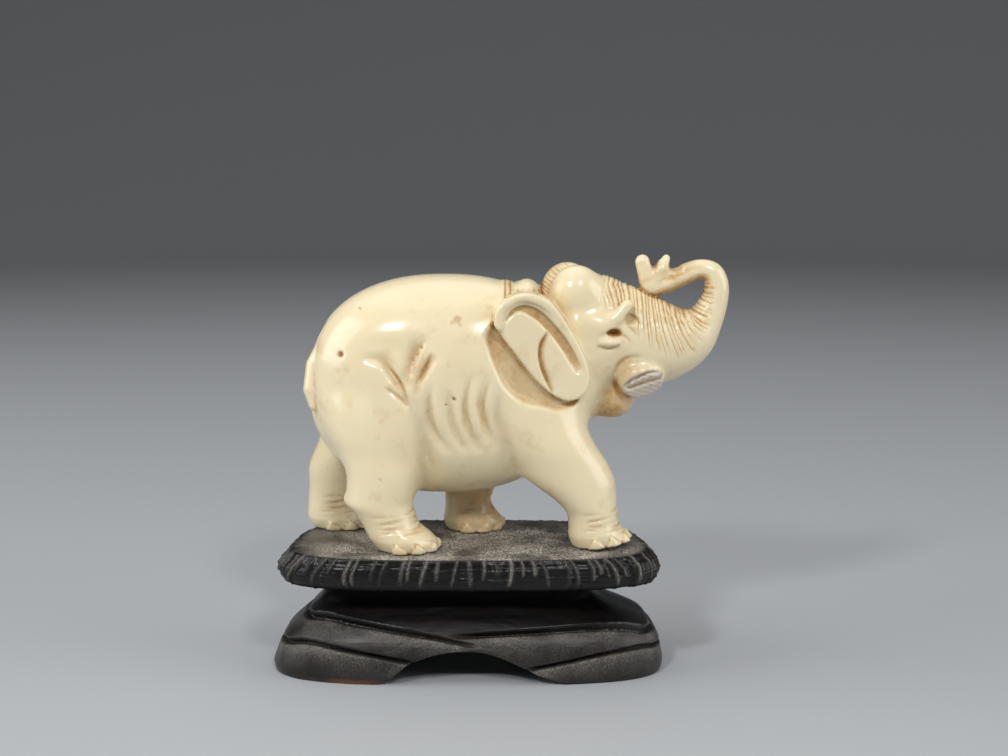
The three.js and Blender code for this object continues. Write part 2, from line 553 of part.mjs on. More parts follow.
// One level of the stand's plan: a rounded oblong whose edge is sunk where the rim has a notch
function planRing([z, left, right, depth], lean, sides, notchDepth = 0) {
  const outline = Array.from({ length: PLAN_POINTS + 1 }, (_, i) => {
    const angle = 2 * Math.PI * i / PLAN_POINTS;
    const [c, s] = [Math.cos(angle), Math.sin(angle)];
    const bulge = Math.abs(c / (c < 0 ? left : right)) ** PLAN_POWER + Math.abs(s / depth) ** PLAN_POWER;
    return new THREE.Vector2(c, s).multiplyScalar(bulge ** (-1 / PLAN_POWER));
  });
  const path = new THREE.Path(outline);
  const length = path.getLength();
  return path.getSpacedPoints(sides).slice(0, sides).map((point, side) => {
    const along = length * side / sides;
    const drift = RIM_NOTCH.drift * Math.sin(2 * Math.PI * along / RIM_NOTCH.driftLength);
    const sunk = notchDepth * Math.max(Math.cos(2 * Math.PI * (along / RIM_NOTCH.pitch + drift)), 0);
    const inset = point.clone().multiplyScalar(1 - sunk / point.length());
    const drawnIn = lean[inset.x < 0 ? 0 : 1] * (inset.y - LEAN_FROM);
    return new THREE.Vector3(inset.x * (1 - drawnIn), inset.y, z);
  });
}

// Where the block's front stands at a place of the front view
function blockFront(x, z) {
  const [left, right, depth] = blockCurve.evaluate(z);
  const across = Math.min(Math.abs(x) / (x < 0 ? left : right), 1);
  return -depth * (1 - across ** PLAN_POWER) ** (1 / PLAN_POWER);
}

const blockCurve = new THREE.LinearInterpolant(
  Float64Array.from(BLOCK_LEVELS, (level) => level[0]),
  Float64Array.from(BLOCK_LEVELS.flatMap((level) => level.slice(1))),
  3,
);

// Cuts for one groove on the block's front and its twin on the back, running out at both ends
function blockGroove(line) {
  const out = BLOCK_GOUGE.radius - BLOCK_GOUGE.depth;
  return [1, -1].map((side) => {
    const points = line.map(([x, z], i) => {
      const ends = i === 0 || i === line.length - 1 ? BLOCK_GOUGE.depth : 0;
      return new THREE.Vector3(x, side * (blockFront(x, z) - out - ends), z);
    });
    return gouge(points, BLOCK_GOUGE.radius);
  });
}

function archCut() {
  const depth = 3 * PLATE_LEVELS[0][3];
  const [start, ...rest] = ARCH.map(flat);
  const shape = new THREE.Shape().moveTo(start.x, start.y).splineThru(rest);
  const options = { depth, curveSegments: ARCH_STEPS, bevelEnabled: false };
  const geometry = new THREE.ExtrudeGeometry(shape, options);
  return solid(geometry.rotateX(Math.PI / 2).translate(0, depth / 2, 0));
}

function stand() {
  const plateRings = PLATE_LEVELS.map((level, i) => {
    return planRing(level, PLATE_LEAN, PLATE_SIDES, RIM_NOTCH.depths[i]);
  });
  const blockRings = BLOCK_LEVELS.map((level) => planRing(level, BLOCK_LEAN, BLOCK_SIDES));
  const cuts = [archCut(), ...BLOCK_GROOVES.flatMap(blockGroove)];
  const whole = solid(loft(plateRings)).add(solid(loft(blockRings)));
  return whole.subtract(wasm.Manifold.union(cuts)).simplify(SLIVER);
}

function geometryOf(shape) {
  const { vertProperties, triVerts } = shape.getMesh();
  const geometry = new THREE.BufferGeometry();
  geometry.setAttribute("position", new THREE.Float32BufferAttribute(vertProperties, 3));
  geometry.setIndex(Array.from(triVerts));
  geometry.computeVertexNormals();
  return geometry;
}

function mesh(name, shape, colour, roughness) {
  const material = new THREE.MeshStandardMaterial({ color: colour, roughness, metalness: 0 });
  const piece = new THREE.Mesh(geometryOf(shape), material);
  piece.name = name;
  return piece;
}

const IVORY = "#e8dcbb";
const DARK_WOOD = "#2b2725";
const figure = new THREE.Group();
figure.add(mesh("elephant", elephant(), IVORY, 0.3), mesh("stand", stand(), DARK_WOOD, 0.6));

// The origin is under the middle of the whole piece, whose trunk reaches past the stand
figure.position.x = -MIDDLE_X;
const part = new THREE.Group();
part.add(figure);

export default part;
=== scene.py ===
"""Dresses a carved elephant and its dark wooden stand.

The elephant is one skin drawn over a field of masses, with its wrinkles, ridges and creases cut into the
field. The stand is one surface of two parameters: round its plan, and from under its foot to its top.
Shapes are worked out in millimetres, with X from the stand's centre, and set into the frame in metres.
"""

import math

import bpy
import numpy as np
from bpy.props import FloatProperty, FloatVectorProperty, PointerProperty
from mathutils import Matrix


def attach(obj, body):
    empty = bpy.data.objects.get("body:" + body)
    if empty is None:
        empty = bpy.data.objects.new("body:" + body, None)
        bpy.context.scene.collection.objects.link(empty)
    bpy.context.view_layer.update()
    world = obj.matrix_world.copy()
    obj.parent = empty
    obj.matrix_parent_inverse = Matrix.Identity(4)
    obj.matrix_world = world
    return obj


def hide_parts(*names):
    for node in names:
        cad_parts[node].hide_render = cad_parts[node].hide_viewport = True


bl_info = {
    "name": "Carved elephant on a stand",
    "version": (1, 0, 0),
    "blender": (4, 5, 0),
    "location": "3D View > Sidebar > Elephant",
    "description": "Builds a carved elephant, its wooden stand and a plain studio",
    "category": "Add Mesh",
}

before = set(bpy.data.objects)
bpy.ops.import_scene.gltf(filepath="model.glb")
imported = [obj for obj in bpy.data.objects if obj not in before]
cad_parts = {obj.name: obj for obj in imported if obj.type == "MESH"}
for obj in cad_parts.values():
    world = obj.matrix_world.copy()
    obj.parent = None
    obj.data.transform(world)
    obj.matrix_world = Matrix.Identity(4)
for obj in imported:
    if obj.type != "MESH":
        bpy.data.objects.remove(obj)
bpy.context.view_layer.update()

MM = 0.001
TINY = 1e-6
# Distance given to what is too far off to be measured
FAR_OFF = 1e3

# The stand's levels: height, reach to the left, to the right, and to front and back
PLATE_TOP = 29.4
PLATE_LEVELS = [
    (22.1, 44.6, 45.2, 20.6),
    (23.4, 45.8, 46.2, 21.3),
    (25.8, 45.6, 46.2, 21.5),
    (28.2, 43.6, 44.8, 20.9),
    (PLATE_TOP, 42.4, 43.2, 20.1),
]
BLOCK_LEVELS = [
    (0.0, 46.4, 46.4, 21.0),
    (1.2, 46.7, 46.8, 21.5),
    (4.5, 45.9, 46.6, 21.5),
    (8.0, 44.2, 45.6, 20.9),
    (11.0, 41.2, 43.2, 19.7),
    (14.0, 38.0, 36.6, 17.2),
    (16.4, 35.6, 31.6, 14.4),
    (22.1, 34.5, 31.0, 13.6),
]
# The ends lean: behind this Y they are drawn in by so much for each millimetre, left and right
LEAN_FROM = -10
PLATE_LEAN = (0.0022, 0.0037)
BLOCK_LEAN = (0.0007, 0.0011)
# The plan is an oval squared off by this power
PLAN_POWER = 3.4
# The arch between the two feet and the block's long grooves, as heights along X
ARCH = [(-22.6, -1), (-19.4, 0.7), (-16.5, 2.5), (-13.5, 4.9), (-8.4, 6.9), (-2.7, 7.9),
        (3.1, 7.8), (7.7, 6.6), (12.3, 4.6), (16.9, 2.3), (21.5, 0.6), (24.4, -1)]
BLOCK_GROOVES = [
    [(-43, 12.4), (-39.5, 13.2), (-33.5, 14.3), (-27.3, 13.9), (-15.5, 12.4), (-6.2, 11), (2, 9.4)],
    [(-48, 6.2), (-45, 7.2), (-41.5, 8.4), (-36.6, 9.2), (-27, 8), (-17.6, 6.5), (-11.5, 5.3)],
    [(-3.5, 11.4), (12.3, 12.2), (26.2, 12.7), (35.8, 12.3), (41.5, 10.9), (46.5, 9.4)],
    [(13.5, 3.9), (21.5, 5.3), (30.8, 7), (40.3, 7.8), (45, 6.8), (48.5, 5.8)],
]

# Each groove of the block: a deep cut, steep above and sloping below, over a shallow lap in the band below it
LAP = {"cut": 1.7, "above": 0.35, "below": 0.95, "sink": 0.5, "fade": 1.7, "dust": (0.5, 1.1), "reach": 10}
# A groove ends at this share of its depth, and gains this many depths over its whole length
LAP_END = {"least": 0.2, "rise": 10}
# Grooves are fainter round the block's ends: they deepen between these cosines from front or back
LAP_FACING = (-0.1, 0.2)
# Ridges round the rim stand this far apart, with scoops between them, as deep as this at each plate level
RIM_PITCH = 3.1
NOTCH_DEPTHS = [0.35, 0.9, 0.95, 0.85, 0.25]
# How the ridges differ: limits of their shift along the rim, lean, depth, dust and half width
RIDGE_RANGE = {"shift": (-0.42, 0.42), "lean": (-0.15, 0.25), "depth": (0.45, 1.15), "dust": (0.2, 1),
               "width": (0.22, 0.55)}
# This share of the ridges ends above the rim's lower edge, between these heights
SHORT_RIDGES = {"share": 0.4, "feet": (24.5, 26.5), "run_out": (-0.8, 0.2)}
# Tool marks: hills along the plan, hills across the rows, and height
BLOCK_MARKS = (50, 16, 0.05)
RIM_MARKS = (36, 24, 0.14)
TOP_MARKS = (34, 9, 0.06)
# The top lies this much under the plate's edge
TOP_SINK = 0.06
# Dust on the laps, on the bands below these heights, on the rim's ridges over these, and amid the top
BLOCK_DUST = {"laps": 0.5, "bands": 0.04, "bands_end": (10, 13.5)}
RIM_DUST = {"ridges": 0.8, "over": (22.8, 24.6)}
MIDDLE_DUST = 0.8
# On the top there is less dust towards the ends, at these distances from this X, and towards the back
TOP_DUST = {"middle": 2, "ends": (28, 42), "ends_less": 0.7, "back": (4, 18), "back_less": 0.6}
# Painted shade in the waist between these heights, and the front's lower edge is worn round this X
PAINTED_WAIST_SHADE = ((15, 17.5), (22.1, 23.2))
WORN = {"middle": -27, "reach": 8, "below": (0.5, 1.6)}
# How finely the stand is drawn: points on its plan and arch, columns round it, and rows on each part
PLAN_SAMPLES = 20_000
ARCH_SAMPLES = 120
STAND_COLUMNS = 640
BLOCK_ROWS = 84
RIM_ROWS = 30
TOP_ROWS = 18
FOOT_ROWS = 6
LEDGE_ROWS = 5
# Most of the block's rows lie in the carved share of its height
CARVED_SHARE, CARVED_ROWS = 0.68, 72
# The innermost row of the foot and of the top, as a share of the outer one; the top's rows crowd outwards
FOOT_MIDDLE, TOP_MIDDLE, TOP_CROWDING = 0.1, 0.04, 0.8
STAND_SEED = 11

# The elephant's midplane in Y and the whole piece's middle in X; v is measured from the midplane
MIDPLANE = 3
MIDDLE_X = 7.78
SOLE_GAP = 0.1
BODY = {"centre": (-5.5, 0, 67), "reach": (32.6, 18.2, 26.1), "power": 2.3}
NECK = {"centre": (19, 0, 69), "reach": (14.2, 12.8, 15)}
HEAD = {"centre": (29.5, 0, 78.5), "reach": (11, 10.6, 12.5)}
DOME = {"centre": (25.6, 4.6, 88.7), "reach": (6.3, 5.4, 6.9)}
# The far dome stands this much further back, eased across the midplane
FAR_DOME_BACK = {"by": 1.8, "across": (-2, 2)}
JAW = {"centre": (34.6, 0, 63.4), "reach": (5, 5.2, 4.7)}
TUSK_SHEATH = {"centre": (40.7, 6.0, 69.2), "reach": (5.5, 4.6, 4.9)}
# The broken tusk: a slanting, rough face across the sheath, with curved break lines in it
TUSK_FACE = {"at": (42, 7.9, 68.1), "normal": (0.24, 0.78, -0.58), "rough": 0.15}
TUSK_LINES = {"width": 0.42, "depth": 0.8, "lines": [
    [(36.9, 67.7), (38.5, 69.1), (40.9, 70.3), (43.2, 71), (45.5, 70.7)],
    [(37.7, 67), (40, 67.8), (42.4, 68.6), (44.5, 69.1), (45.6, 70)],
]}
# The brow flows out of the dome and sweeps forward to a blunt point over the eye: place and radius
BROW = [(26.5, 7.2, 82, 3.2), (31.9, 8.4, 81.6, 2.2), (34.95, 9.2, 83.75, 1.6), (37.2, 8.9, 86.6, 1.35)]
EYE = {"centre": (34.2, 9.9, 80.3), "reach": (1.5, 1.9, 0.85)}
EYELID = {"centre": (32.7, 10, 78), "reach": (2.8, 1.3, 1.1)}
BROW_HOLLOW = {"centre": (38.05, 8.6, 83.4), "reach": (1.5, 1.6, 1.2)}
NAPE_ROLLS = [
    {"centre": (9.2, 0, 86.5), "reach": (3.5, 7.8, 5.2)},
    {"centre": (14, 0, 86.4), "reach": (4.1, 8.0, 5.6)},
]
# Each leg's rows run up from the sole: height, centre and half width along X, then the same sideways
LEGS = {
    "near_hind": [
        (29, -14.2, 7.3, -12, 6.7), (31, -14.6, 7.9, -12, 7.1), (33, -15.9, 7.6, -12, 6.9),
        (35.5, -18, 6.8, -11.8, 6.4), (38, -19.3, 7.1, -11.5, 6.7), (40.5, -20.6, 7.9, -11.2, 7.2),
        (43, -20.2, 8.2, -10.9, 7.6), (47, -19.7, 8.7, -10.4, 8.2), (52, -20.5, 9.6, -9.6, 8.5),
        (56, -21.2, 10.6, -9.2, 8.8), (61, -22, 10.8, -8.6, 8.5), (68, -22.5, 9.5, -7, 7)],
    "near_front": [
        (29, 31.4, 7.2, -9, 6.4), (31, 31.4, 7.6, -9, 6.8), (32.6, 30.8, 7, -9, 6.7),
        (35, 29.9, 6.1, -9, 6.3), (37.5, 29.4, 6.1, -9, 6.3), (40, 28.2, 7, -8.9, 6.6),
        (42.3, 26.7, 8.4, -8.8, 6.9), (45, 24.7, 10.1, -8.7, 7.2), (48, 22.5, 11.2, -8.5, 7.6),
        (54, 18.8, 11.2, -8.2, 8.4), (60, 16, 11, -7.6, 8.2), (68, 13.5, 9.5, -6.4, 7)],
    "far_hind": [
        (29, -32, 7.4, 11, 6.3), (31, -32.3, 7.8, 11, 6.7), (33, -32.8, 7.4, 11, 6.6),
        (36, -33, 7, 11, 6.5), (40.7, -32.5, 7.2, 10.8, 6.9), (45, -31.9, 7.7, 10.4, 7.5),
        (51, -28.6, 8.6, 9.6, 8.4), (56, -26.2, 9.4, 9.2, 8.8), (61, -24.6, 10, 8.6, 8.5),
        (68, -23, 9.5, 7, 7)],
    "far_front": [
        (29, 1, 7, 8.7, 6.4), (31.5, 1, 7.5, 8.7, 6.8), (33.5, 0.4, 6.5, 8.7, 6.5),
        (36, -0.2, 5.7, 8.7, 6.1), (38.6, 0, 5.9, 8.7, 6.2), (41, 0.8, 6.3, 8.6, 6.5),
        (44, 2.5, 7, 8.4, 6.9), (48, 5, 8.2, 8.2, 7.5), (54, 9, 9.6, 8, 8.3),
        (60, 11.5, 10, 7.6, 8.2), (68, 13.5, 9.5, 6.4, 7)],
}
LEG_TOP = 67
# The near front foot's toes are lifted: past this X its sole rises by this slope
LIFTED_TOE = {"from": 26.5, "slope": 0.15}
# The tail hangs in a groove: place and radius
TAIL_GROOVE = {"width": 1.3, "depth": 1.1}
TAIL = [(-32.5, -1, 78, 2.5), (-35.8, -3, 71.6, 2.6), (-36.5, -4.2, 66.2, 2.5), (-35.9, -4.6, 62.8, 1.9)]
HOCK = {"centre": (-26.6, -11, 41.3), "reach": (2.2, 2.8, 1.6)}
# The trunk's centreline and radius from root to tip
TRUNK = [(28.6, 82.6, 9.2), (33, 80.8, 10.9), (36.5, 79.3, 11.2), (41.2, 77.6, 10.9), (46.9, 77, 9.1),
         (52.2, 78.2, 6.7), (55.6, 81.2, 4.7), (58.1, 85.7, 3.5), (59, 90, 3), (58, 93.3, 2.6),
         (55.2, 94.3, 2.3), (51.9, 93.3, 2.45), (48.1, 91.7, 2.6), (45, 90.5, 2.5), (43.4, 89.9, 2.3)]
TRUNK_ROOT = [(30, 0, 83, 10.2), (36, 0, 79.3, 10.4), (42, 0, 77.4, 9.8)]
TRUNK_FLATNESS = {"root": 0.84, "from": 0.1, "round": 0.5}
TRUNK_SAMPLES = 72
# Nothing of the trunk lies behind this X, and its ridges are counted from this far before its root
TRUNK_FROM = 20
SPINE_BEFORE = -0.2
# A place slides back along the trunk by this much at most in one step
SLIDE_BACK = -0.05
# Skin this near to the trunk's own surface carries its ridges
TRUNK_SKIN = (0.6, 1.6)
# The ridges run from the forehead to the curl, and at each place reach down to this cosine round the trunk
RIDGES_START = (-0.06, -0.03)
RIDGES_END = (0.55, 0.67)
RIDGE_LIMITS = [(0, 0.5), (0.07, 0.45), (0.143, 0.4), (0.2, 0.2), (0.25, -0.05), (0.3, -0.3), (0.36, -0.35),
                (0.43, -0.2), (0.5, 0.05), (0.57, 0.3), (0.64, 0.6)]
# Each ridge slants forward as it runs down the side: this much of the drop, from forehead to curl
RIDGE_SLANTS = [(0, 0.7), (0.2, 0.4), (0.35, 0.2), (0.5, 0)]
# Waves over the count make the ridges' spacing and lengths uneven: height, rate and shift of each
RIDGE_UNEVEN = [(0.16, 2.1, 0), (0.12, 5.3, 1)]
RIDGE_LENGTHS = [(0.14, 3.7, 0), (0.1, 8.9, 0)]
# A ridge comes up between these cosines round its limit
RIDGE_EDGE = (-0.2, 0.25)
# Ridges keep their spacing on a line this share of the radius towards the curl
RIDGES_AT = 0.6
# Half the width of a groove across the trunk
GROOVE_WIDTH = 0.3
# The trunk's tip opens into two fingers on a broad base
FINGER_BASE = {"centre": (44.1, 0, 92.3), "reach": (2.7, 1.9, 3.1)}
FINGERS = [
    {"start": (43.4, 0, 90.4), "end": (41.4, 0, 96), "radii": (2.5, 1.75)},
    {"start": (45, 0, 92), "end": (46.0, 0, 94.4), "radii": (2.4, 1.9)},
    {"start": (46.0, 0, 94.4), "end": (47, 0, 96.8), "radii": (1.9, 0.95)},
]
FINGER_HOLLOWS = [{"centre": (44.1, -0.6, 97), "reach": (0.8, 2.4, 2.4)},
                  {"centre": (49.2, -1, 95.2), "reach": (1.4, 2.2, 1.2)}]
# The ear's outline, its leaning outer face and the rolled-over edge along its top
EAR = [(6.3, 83), (7.2, 87), (12.6, 90.2), (18.8, 88.3), (23.8, 81.5), (27.7, 73.8), (28.2, 67.6),
       (23.6, 64.8), (17.4, 68.4), (10.2, 77.4)]
EAR_FACE = {"stand": 17.1, "at": 8, "taper": 0.2, "depth": 8}
EAR_ROLL = {"line": [(7.1, 82.4), (8.0, 86.6), (11.8, 89.2), (16, 88.8), (19.8, 86.2), (22.4, 83)],
            "width": 1.35, "height": 1.1, "run_out": (0.6, 1)}
# Widths of the rounded valleys where the masses join
JOIN = {"neck": 5, "leg": 3.2, "leg_top": 4, "head": 4, "dome": 1.6, "root": 3, "jaw": 2.4, "sheath": 1.3,
        "crisp": 0.7, "nape": 0.9, "ear_edge": 0.7, "ear": 0.5, "trunk": 1.0, "sole": 0.4}

# Creases of the flanks: a line of the side view, its width, its depth (a rise where negative) and its brown
FLANK_CREASES = [
    ([(1.4, 73), (-0.3, 65.6), (-0.1, 61), (1.2, 57), (3.4, 52.8)], 1.1, 1.4, 0.14),
    ([(5.0, 72), (3.3, 65.6), (3.6, 62.1), (4.7, 58.6), (7.2, 53)], 1.1, 1.5, 0.18),
    ([(7.4, 67), (6.9, 61.5), (8.2, 56.4)], 1.0, 0.6, 0.1),
    ([(-8.6, 70), (-8.4, 62), (-6.8, 57), (-3.6, 52.4)], 1.1, 1.3, 0.14),
    ([(-4.0, 68.5), (-3.6, 62), (-2.4, 57.4), (0.4, 52.6)], 1.1, 1.3, 0.12),
    ([(-9.4, 80.6), (-11.8, 76.4), (-13, 72), (-13.6, 68)], 1.5, 1.0, 0.36),
    ([(-6.8, 76.6), (-8.9, 73.4), (-10.8, 70), (-12, 66.4)], 1.0, 1.1, 0.5),
    ([(-24.5, 75), (-19.6, 74.6), (-17, 71.4), (-14.7, 67.9), (-12.6, 62)], 1.1, 1.3, 0.24),
    ([(-18.6, 68.6), (-15.4, 66.3), (-13.4, 63.4)], 0.8, 0.5, 0.15),
    ([(-8.6, 77), (-6.6, 75), (-5.6, 71.6), (-6.2, 64), (-5, 57)], 1.3, -0.5, 0),
    ([(-2, 70), (-2, 63), (-0.6, 56)], 1.3, -0.4, 0),
    ([(2.4, 71), (1.7, 64), (3.0, 57)], 1.2, -0.4, 0),
    ([(-13.6, 67), (-11.5, 60.5), (-10.4, 56.3), (-9.9, 50.7), (-10.1, 42)], 1.6, 1.1, 0.03),
    ([(-11.6, 68), (-9.8, 60), (-8.8, 53), (-8.4, 47), (-9, 42)], 2.6, 1.4, 0.05),
    ([(-18, 70), (-15.2, 62), (-13.9, 54), (-13.6, 46)], 3.0, -0.6, 0),
    ([(7.6, 69), (7.2, 61.9), (8.7, 56.3), (10.4, 50.7), (12.6, 46.5)], 1.7, 1.0, 0.03),
    ([(6.6, 64), (7.4, 56), (8.8, 50), (10.4, 46)], 2.4, 0.7, 0.05),
    ([(14, 66), (13.4, 58), (15, 50)], 3.0, -0.5, 0),
    ([(-21.6, 75.4), (-18, 73.1), (-15.5, 70.2), (-13.9, 66.8), (-13.5, 63.4)], 0.42, 0.4, 0.6),
    ([(-18.8, 69), (-15.5, 66.4), (-13.3, 64)], 0.4, 0.3, 0.5),
    ([(-8.8, 79.8), (-10.8, 77.6), (-12.3, 75.4), (-13.2, 70.4)], 0.45, 0.3, 0.42),
    ([(-7.8, 76.8), (-9.2, 73.5), (-11.4, 69.2)], 0.42, 0.4, 0.7),
    ([(1.2, 71.5), (-0.2, 66.1), (-0.1, 62), (2.2, 54.8)], 0.42, 0.25, 0.34),
    ([(5.8, 71.5), (4, 66.1), (4, 61.6), (6.2, 55.6)], 0.42, 0.25, 0.36),
    ([(-8, 69.2), (-8.7, 63.4), (-7.5, 58.6), (-4.5, 53.8)], 0.42, 0.25, 0.3),
]
# The open groove along the last of the trunk, below its fingers
TIP_CREASES = [([(43.9, 90.9), (46.7, 92), (49.5, 93.1), (52.7, 94.4), (56, 95.2)], 0.75, 0.5, 0.42)]
# Wrinkles round the eye and on the cheek
FACE_CREASES = [
    ([(29.6, 79.4), (33, 80.3), (36.6, 79.4), (38.6, 77.4)], 0.4, 0.4, 0.35),
    ([(30, 77.2), (32.8, 76.6), (35.6, 77.4)], 0.45, 0.45, 0.3),
    ([(36.4, 82.4), (38.2, 81.2), (39.6, 79.2)], 0.4, 0.4, 0.35),
    ([(37.4, 84.6), (39.4, 83.4), (40.6, 81.4)], 0.35, 0.35, 0.35),
    ([(34.8, 70), (35.4, 72.6), (37.8, 74.4), (41, 74.6)], 0.5, 0.5, 0.4),
    ([(29, 74), (29.8, 70), (32, 66.6)], 1.6, 0.5, 0.05),
]
# Distances from the midplane over which each kind of crease sets in
FLANK_FROM = (6, 9)
FACE_FROM = (3, 5)
TIP_FROM = (0.3, 1.3)
# Broad hollows of the flanks: centre in the side view, reach and depth
FLANK_HOLLOWS = [((-17.6, 77), (5.5, 3.0), 0.55), ((-11.6, 75), (2.6, 4.6), 0.8)]
# The sunk brown wedge behind and under the ear; its last points lie behind the ear itself
EAR_WEDGE = {"outline": [(7.4, 84.6), (4.4, 80.8), (4.8, 77), (6.3, 72.8), (8.7, 67.8), (13.2, 64.4),
                         (18, 63.2), (22, 62.4), (26, 64.6), (24, 72), (14, 80)],
             "edge": (0.5, -1.6), "depth": 1.5, "brown": 0.3, "brown_edge": (0.1, 0.7)}
# Cuts of the ear: sharp on one side of the line, then flat and sloping on the other
EAR_CHANNEL = {
    "line": [(26.9, 71.6), (23.4, 78), (20, 82.4), (16.8, 85.6), (13.6, 87), (10.8, 86.2), (8.6, 83.6)],
    "sharp": 0.35, "flat": 1.5, "slope": 0.4, "depth": 1.2, "brown": 0.46, "brown_edge": (0.1, 0.9)}
EAR_FOLD = {"line": [(18.6, 81), (17, 78.4), (16.7, 75.6), (17.4, 72.2), (19.8, 66.6)],
            "sharp": 0.3, "flat": 0, "slope": 0.9, "depth": 1.3, "brown": 0.6, "brown_edge": (0.15, 0.9)}
# The flat is narrowed by this share, over these shares of the line
CUT_TAPER = {"by": 0.8, "over": (0.55, 0.85)}
# Toes: their angles from the way the elephant walks, and half the angle of a nail
TOE_ANGLES = np.radians([-100, -64, -28, 8, 44, 80])
NAIL_HALF_ANGLE = np.radians(19)
# A nail's share of height in the step at its edge, the cut between nails, and the brown line along the edge
NAIL = {"step": 0.4, "edge": (-0.03, 0.14), "cut_back": 0.55, "line": -0.02, "line_width": 0.1, "brown": 0.45}
# Wrinkles round each ankle: height, width and depth
ANKLE_WRINKLES = [(33.6, 0.25, 0.26), (34.5, 0.28, 0.4), (35.5, 0.25, 0.3), (36.7, 0.3, 0.38),
                  (38.2, 0.3, 0.2)]
# They tilt, wave and grow faint in turn round the ankle, and set in between these cosines from the front
ANKLE = {"tilt": 0.7, "wave": 0.2, "front": (-0.75, 0.1), "faint": 0.4, "brown": 0.4}
# A foot's carving lies below this height and keeps to its own leg: it fades at these shares of its reach
FOOT_TOP = 41
OWN_FOOT = ((0.55, 0.8), (1.25, 1.5))
# Broad brown places on the flanks: centre in the side view, reach and strength
FLANK_STAINS = [((-11.4, 74.6), (2.6, 4.2), 0.25), ((-18, 75), (4, 2.5), 0.1)]
# Tan places all over, three of them painted shade as well: centre, reach and strength
TAN_AND_SHADE_PLACES = [
    # Under the jaw: tan with painted shade; on the far front leg: painted shade with tan; under the belly:
    # painted shade
    ((34.5, -3, 62.5), (6, 6, 5), 0.5), ((4, 9, 39), (10, 10, 13), 0.52), ((2, 0, 42), (13, 11, 3.5), 0.12),
    ((44.3, 0, 94.6), (1.5, 2.6, 2.4), 0.55), ((49, -1, 94.4), (2.6, 2.4, 1.6), 0.45),
    ((21, 3, 91), (3.2, 7, 5), 0.32), ((35, -9, 77), (4, 3, 3.5), 0.08),
    ((37.5, -8, 73.2), (3, 3, 1.2), 0.2), ((37.6, -9, 71), (2.4, 3, 2.6), 0.26),
]
# Pinholes of the near flank: place in the side view, size, depth and how brown
PITS = [
    ((-29.1, 75.6), 0.75, 0.35, 1.0), ((-2.9, 66.1), 0.42, 0.3, 1.0), ((-4.7, 64.7), 0.3, 0.2, 0.8),
    ((-24.8, 85.9), 0.35, 0.2, 0.6), ((-2.1, 84), 1.0, 0.12, 0.42), ((-3.2, 83.2), 0.6, 0.1, 0.4),
    ((-1.6, 82.6), 0.4, 0.1, 0.4), ((-19.8, 47.6), 0.35, 0.2, 0.6), ((-10.3, 77.6), 0.3, 0.2, 0.8),
    ((-11.2, 76.2), 0.35, 0.2, 0.8), ((-9.5, 76.4), 0.25, 0.2, 0.7), ((-12.2, 74.4), 0.3, 0.2, 0.7),
    ((-8.6, 75), 0.25, 0.2, 0.7),
]
PIT_EDGE = (0.2, 0.7)
# Brown lines across the nape at places along X with their widths, and a row of short dashes over the ear
NAPE_GROOVES = [(8.9, 0.28), (10, 0.32), (17.6, 0.5)]
NAPE = {"over": (84, 87), "inside": (9, 11), "wave": 0.05, "brown": 0.75}
NAPE_DOTS = {
    "height": 89.6, "thick": 0.4, "pitch": 1.25, "from": 10.6, "to": 17, "sides": (3, 11), "brown": 0.7}
# Brown sits where a step out from the surface finds little room: its length, share of room lost, strength
CAVITY = {"reach": 1.4, "range": (0.3, 0.95), "brown": 0.5}
# Over the longer step this brown is painted shade between parts, as between the legs and under the belly
PAINTED_SHADE = {"reach": 8, "range": (0.3, 1), "brown": 0.14}
# The temple along the ear's front edge was polished cleaner
TEMPLE = {"gap": (3, 0.5), "past": (17, 20), "over": (72, 78), "clean": 0.7}
# Brown of the trunk's curl and tip: where along the trunk, at which cosine round it, and strength
CURL = {"along": (0.5, 0.7), "facing": (0.1, 0.8), "brown": 0.5}
TIP = {"along": (0.68, 0.78), "facing": (-0.95, -0.4), "brown": 0.36}
# Brown of the ridges, the eye, the brow's hollow and the break's lines, and where they fade
RIDGE_BROWN, EYE_BROWN, BROW_BROWN, BREAK_BROWN = 0.07, 0.55, 0.3, 0.5
EYE_EDGE = (0.8, -0.4)
BROW_EDGE = (0.7, -0.4)
BREAK_EDGE = (-0.5, -0.2)
SHEATH_EDGE = (0.6, 0.3)
# Ears and the wedges behind them are measured only in these boxes, and the ears this far out
EAR_BOX = ((2, 60), (33, 95))
EAR_INSIDE = 1
WEDGE_BOX = ((2, 60), (28, 89))
# Skin this near under the ear's outer face is the ear's own, out to a little past its outline
EAR_SKIN, EAR_MARGIN = (-2.6, -1.2), 0.3
# The far dome is covered with fine slanting, wavy wrinkles: their spacing, strength and bounds
FAR_DOME = {
    "pitch": 1.1, "strength": 0.6, "slant": 0.7, "wave": 0.4,
    "past": (-2.5, 0.5), "over": (84, 86), "front": (26, 23), "back": (16.4, 18)}
# Step out from the surface that finds its normals
NORMAL_STEP = 0.3
# The grid: spacing of the coarse one, distance within which the fine one is read, and points read at a time
COARSE = 4
NEAR_SURFACE = 3.6
CHUNK = 120_000

# The floor is flat out to a radius, then rises in a quarter circle, so that no view shows an edge: metres
FLOOR_RADIUS = 1.3
FLOOR_RISE = 1.0
FLOOR_SIDES = 96
FLOOR_STEPS = 24
FLOOR_ROUGHNESS = 0.6
# Soft lights: name, place and width in metres, and power in watts
LIGHTS = [
    ("key", (-0.27, -0.47, 0.47), 0.09, 1.72),
    ("second", (0.17, -0.5, 0.49), 0.09, 1.22),
    ("top", (-0.05, 0.1, 0.85), 0.9, 2.6),
    ("left fill", (-0.95, -0.12, 0.5), 0.7, 5.0),
    ("right fill", (0.95, -0.25, 0.42), 0.7, 4.4),
]
LIGHTS_AIM = (0, 0, 0.055)
WORLD_COLOUR = "#e7e9ed"
WORLD_STRENGTH = 0.1
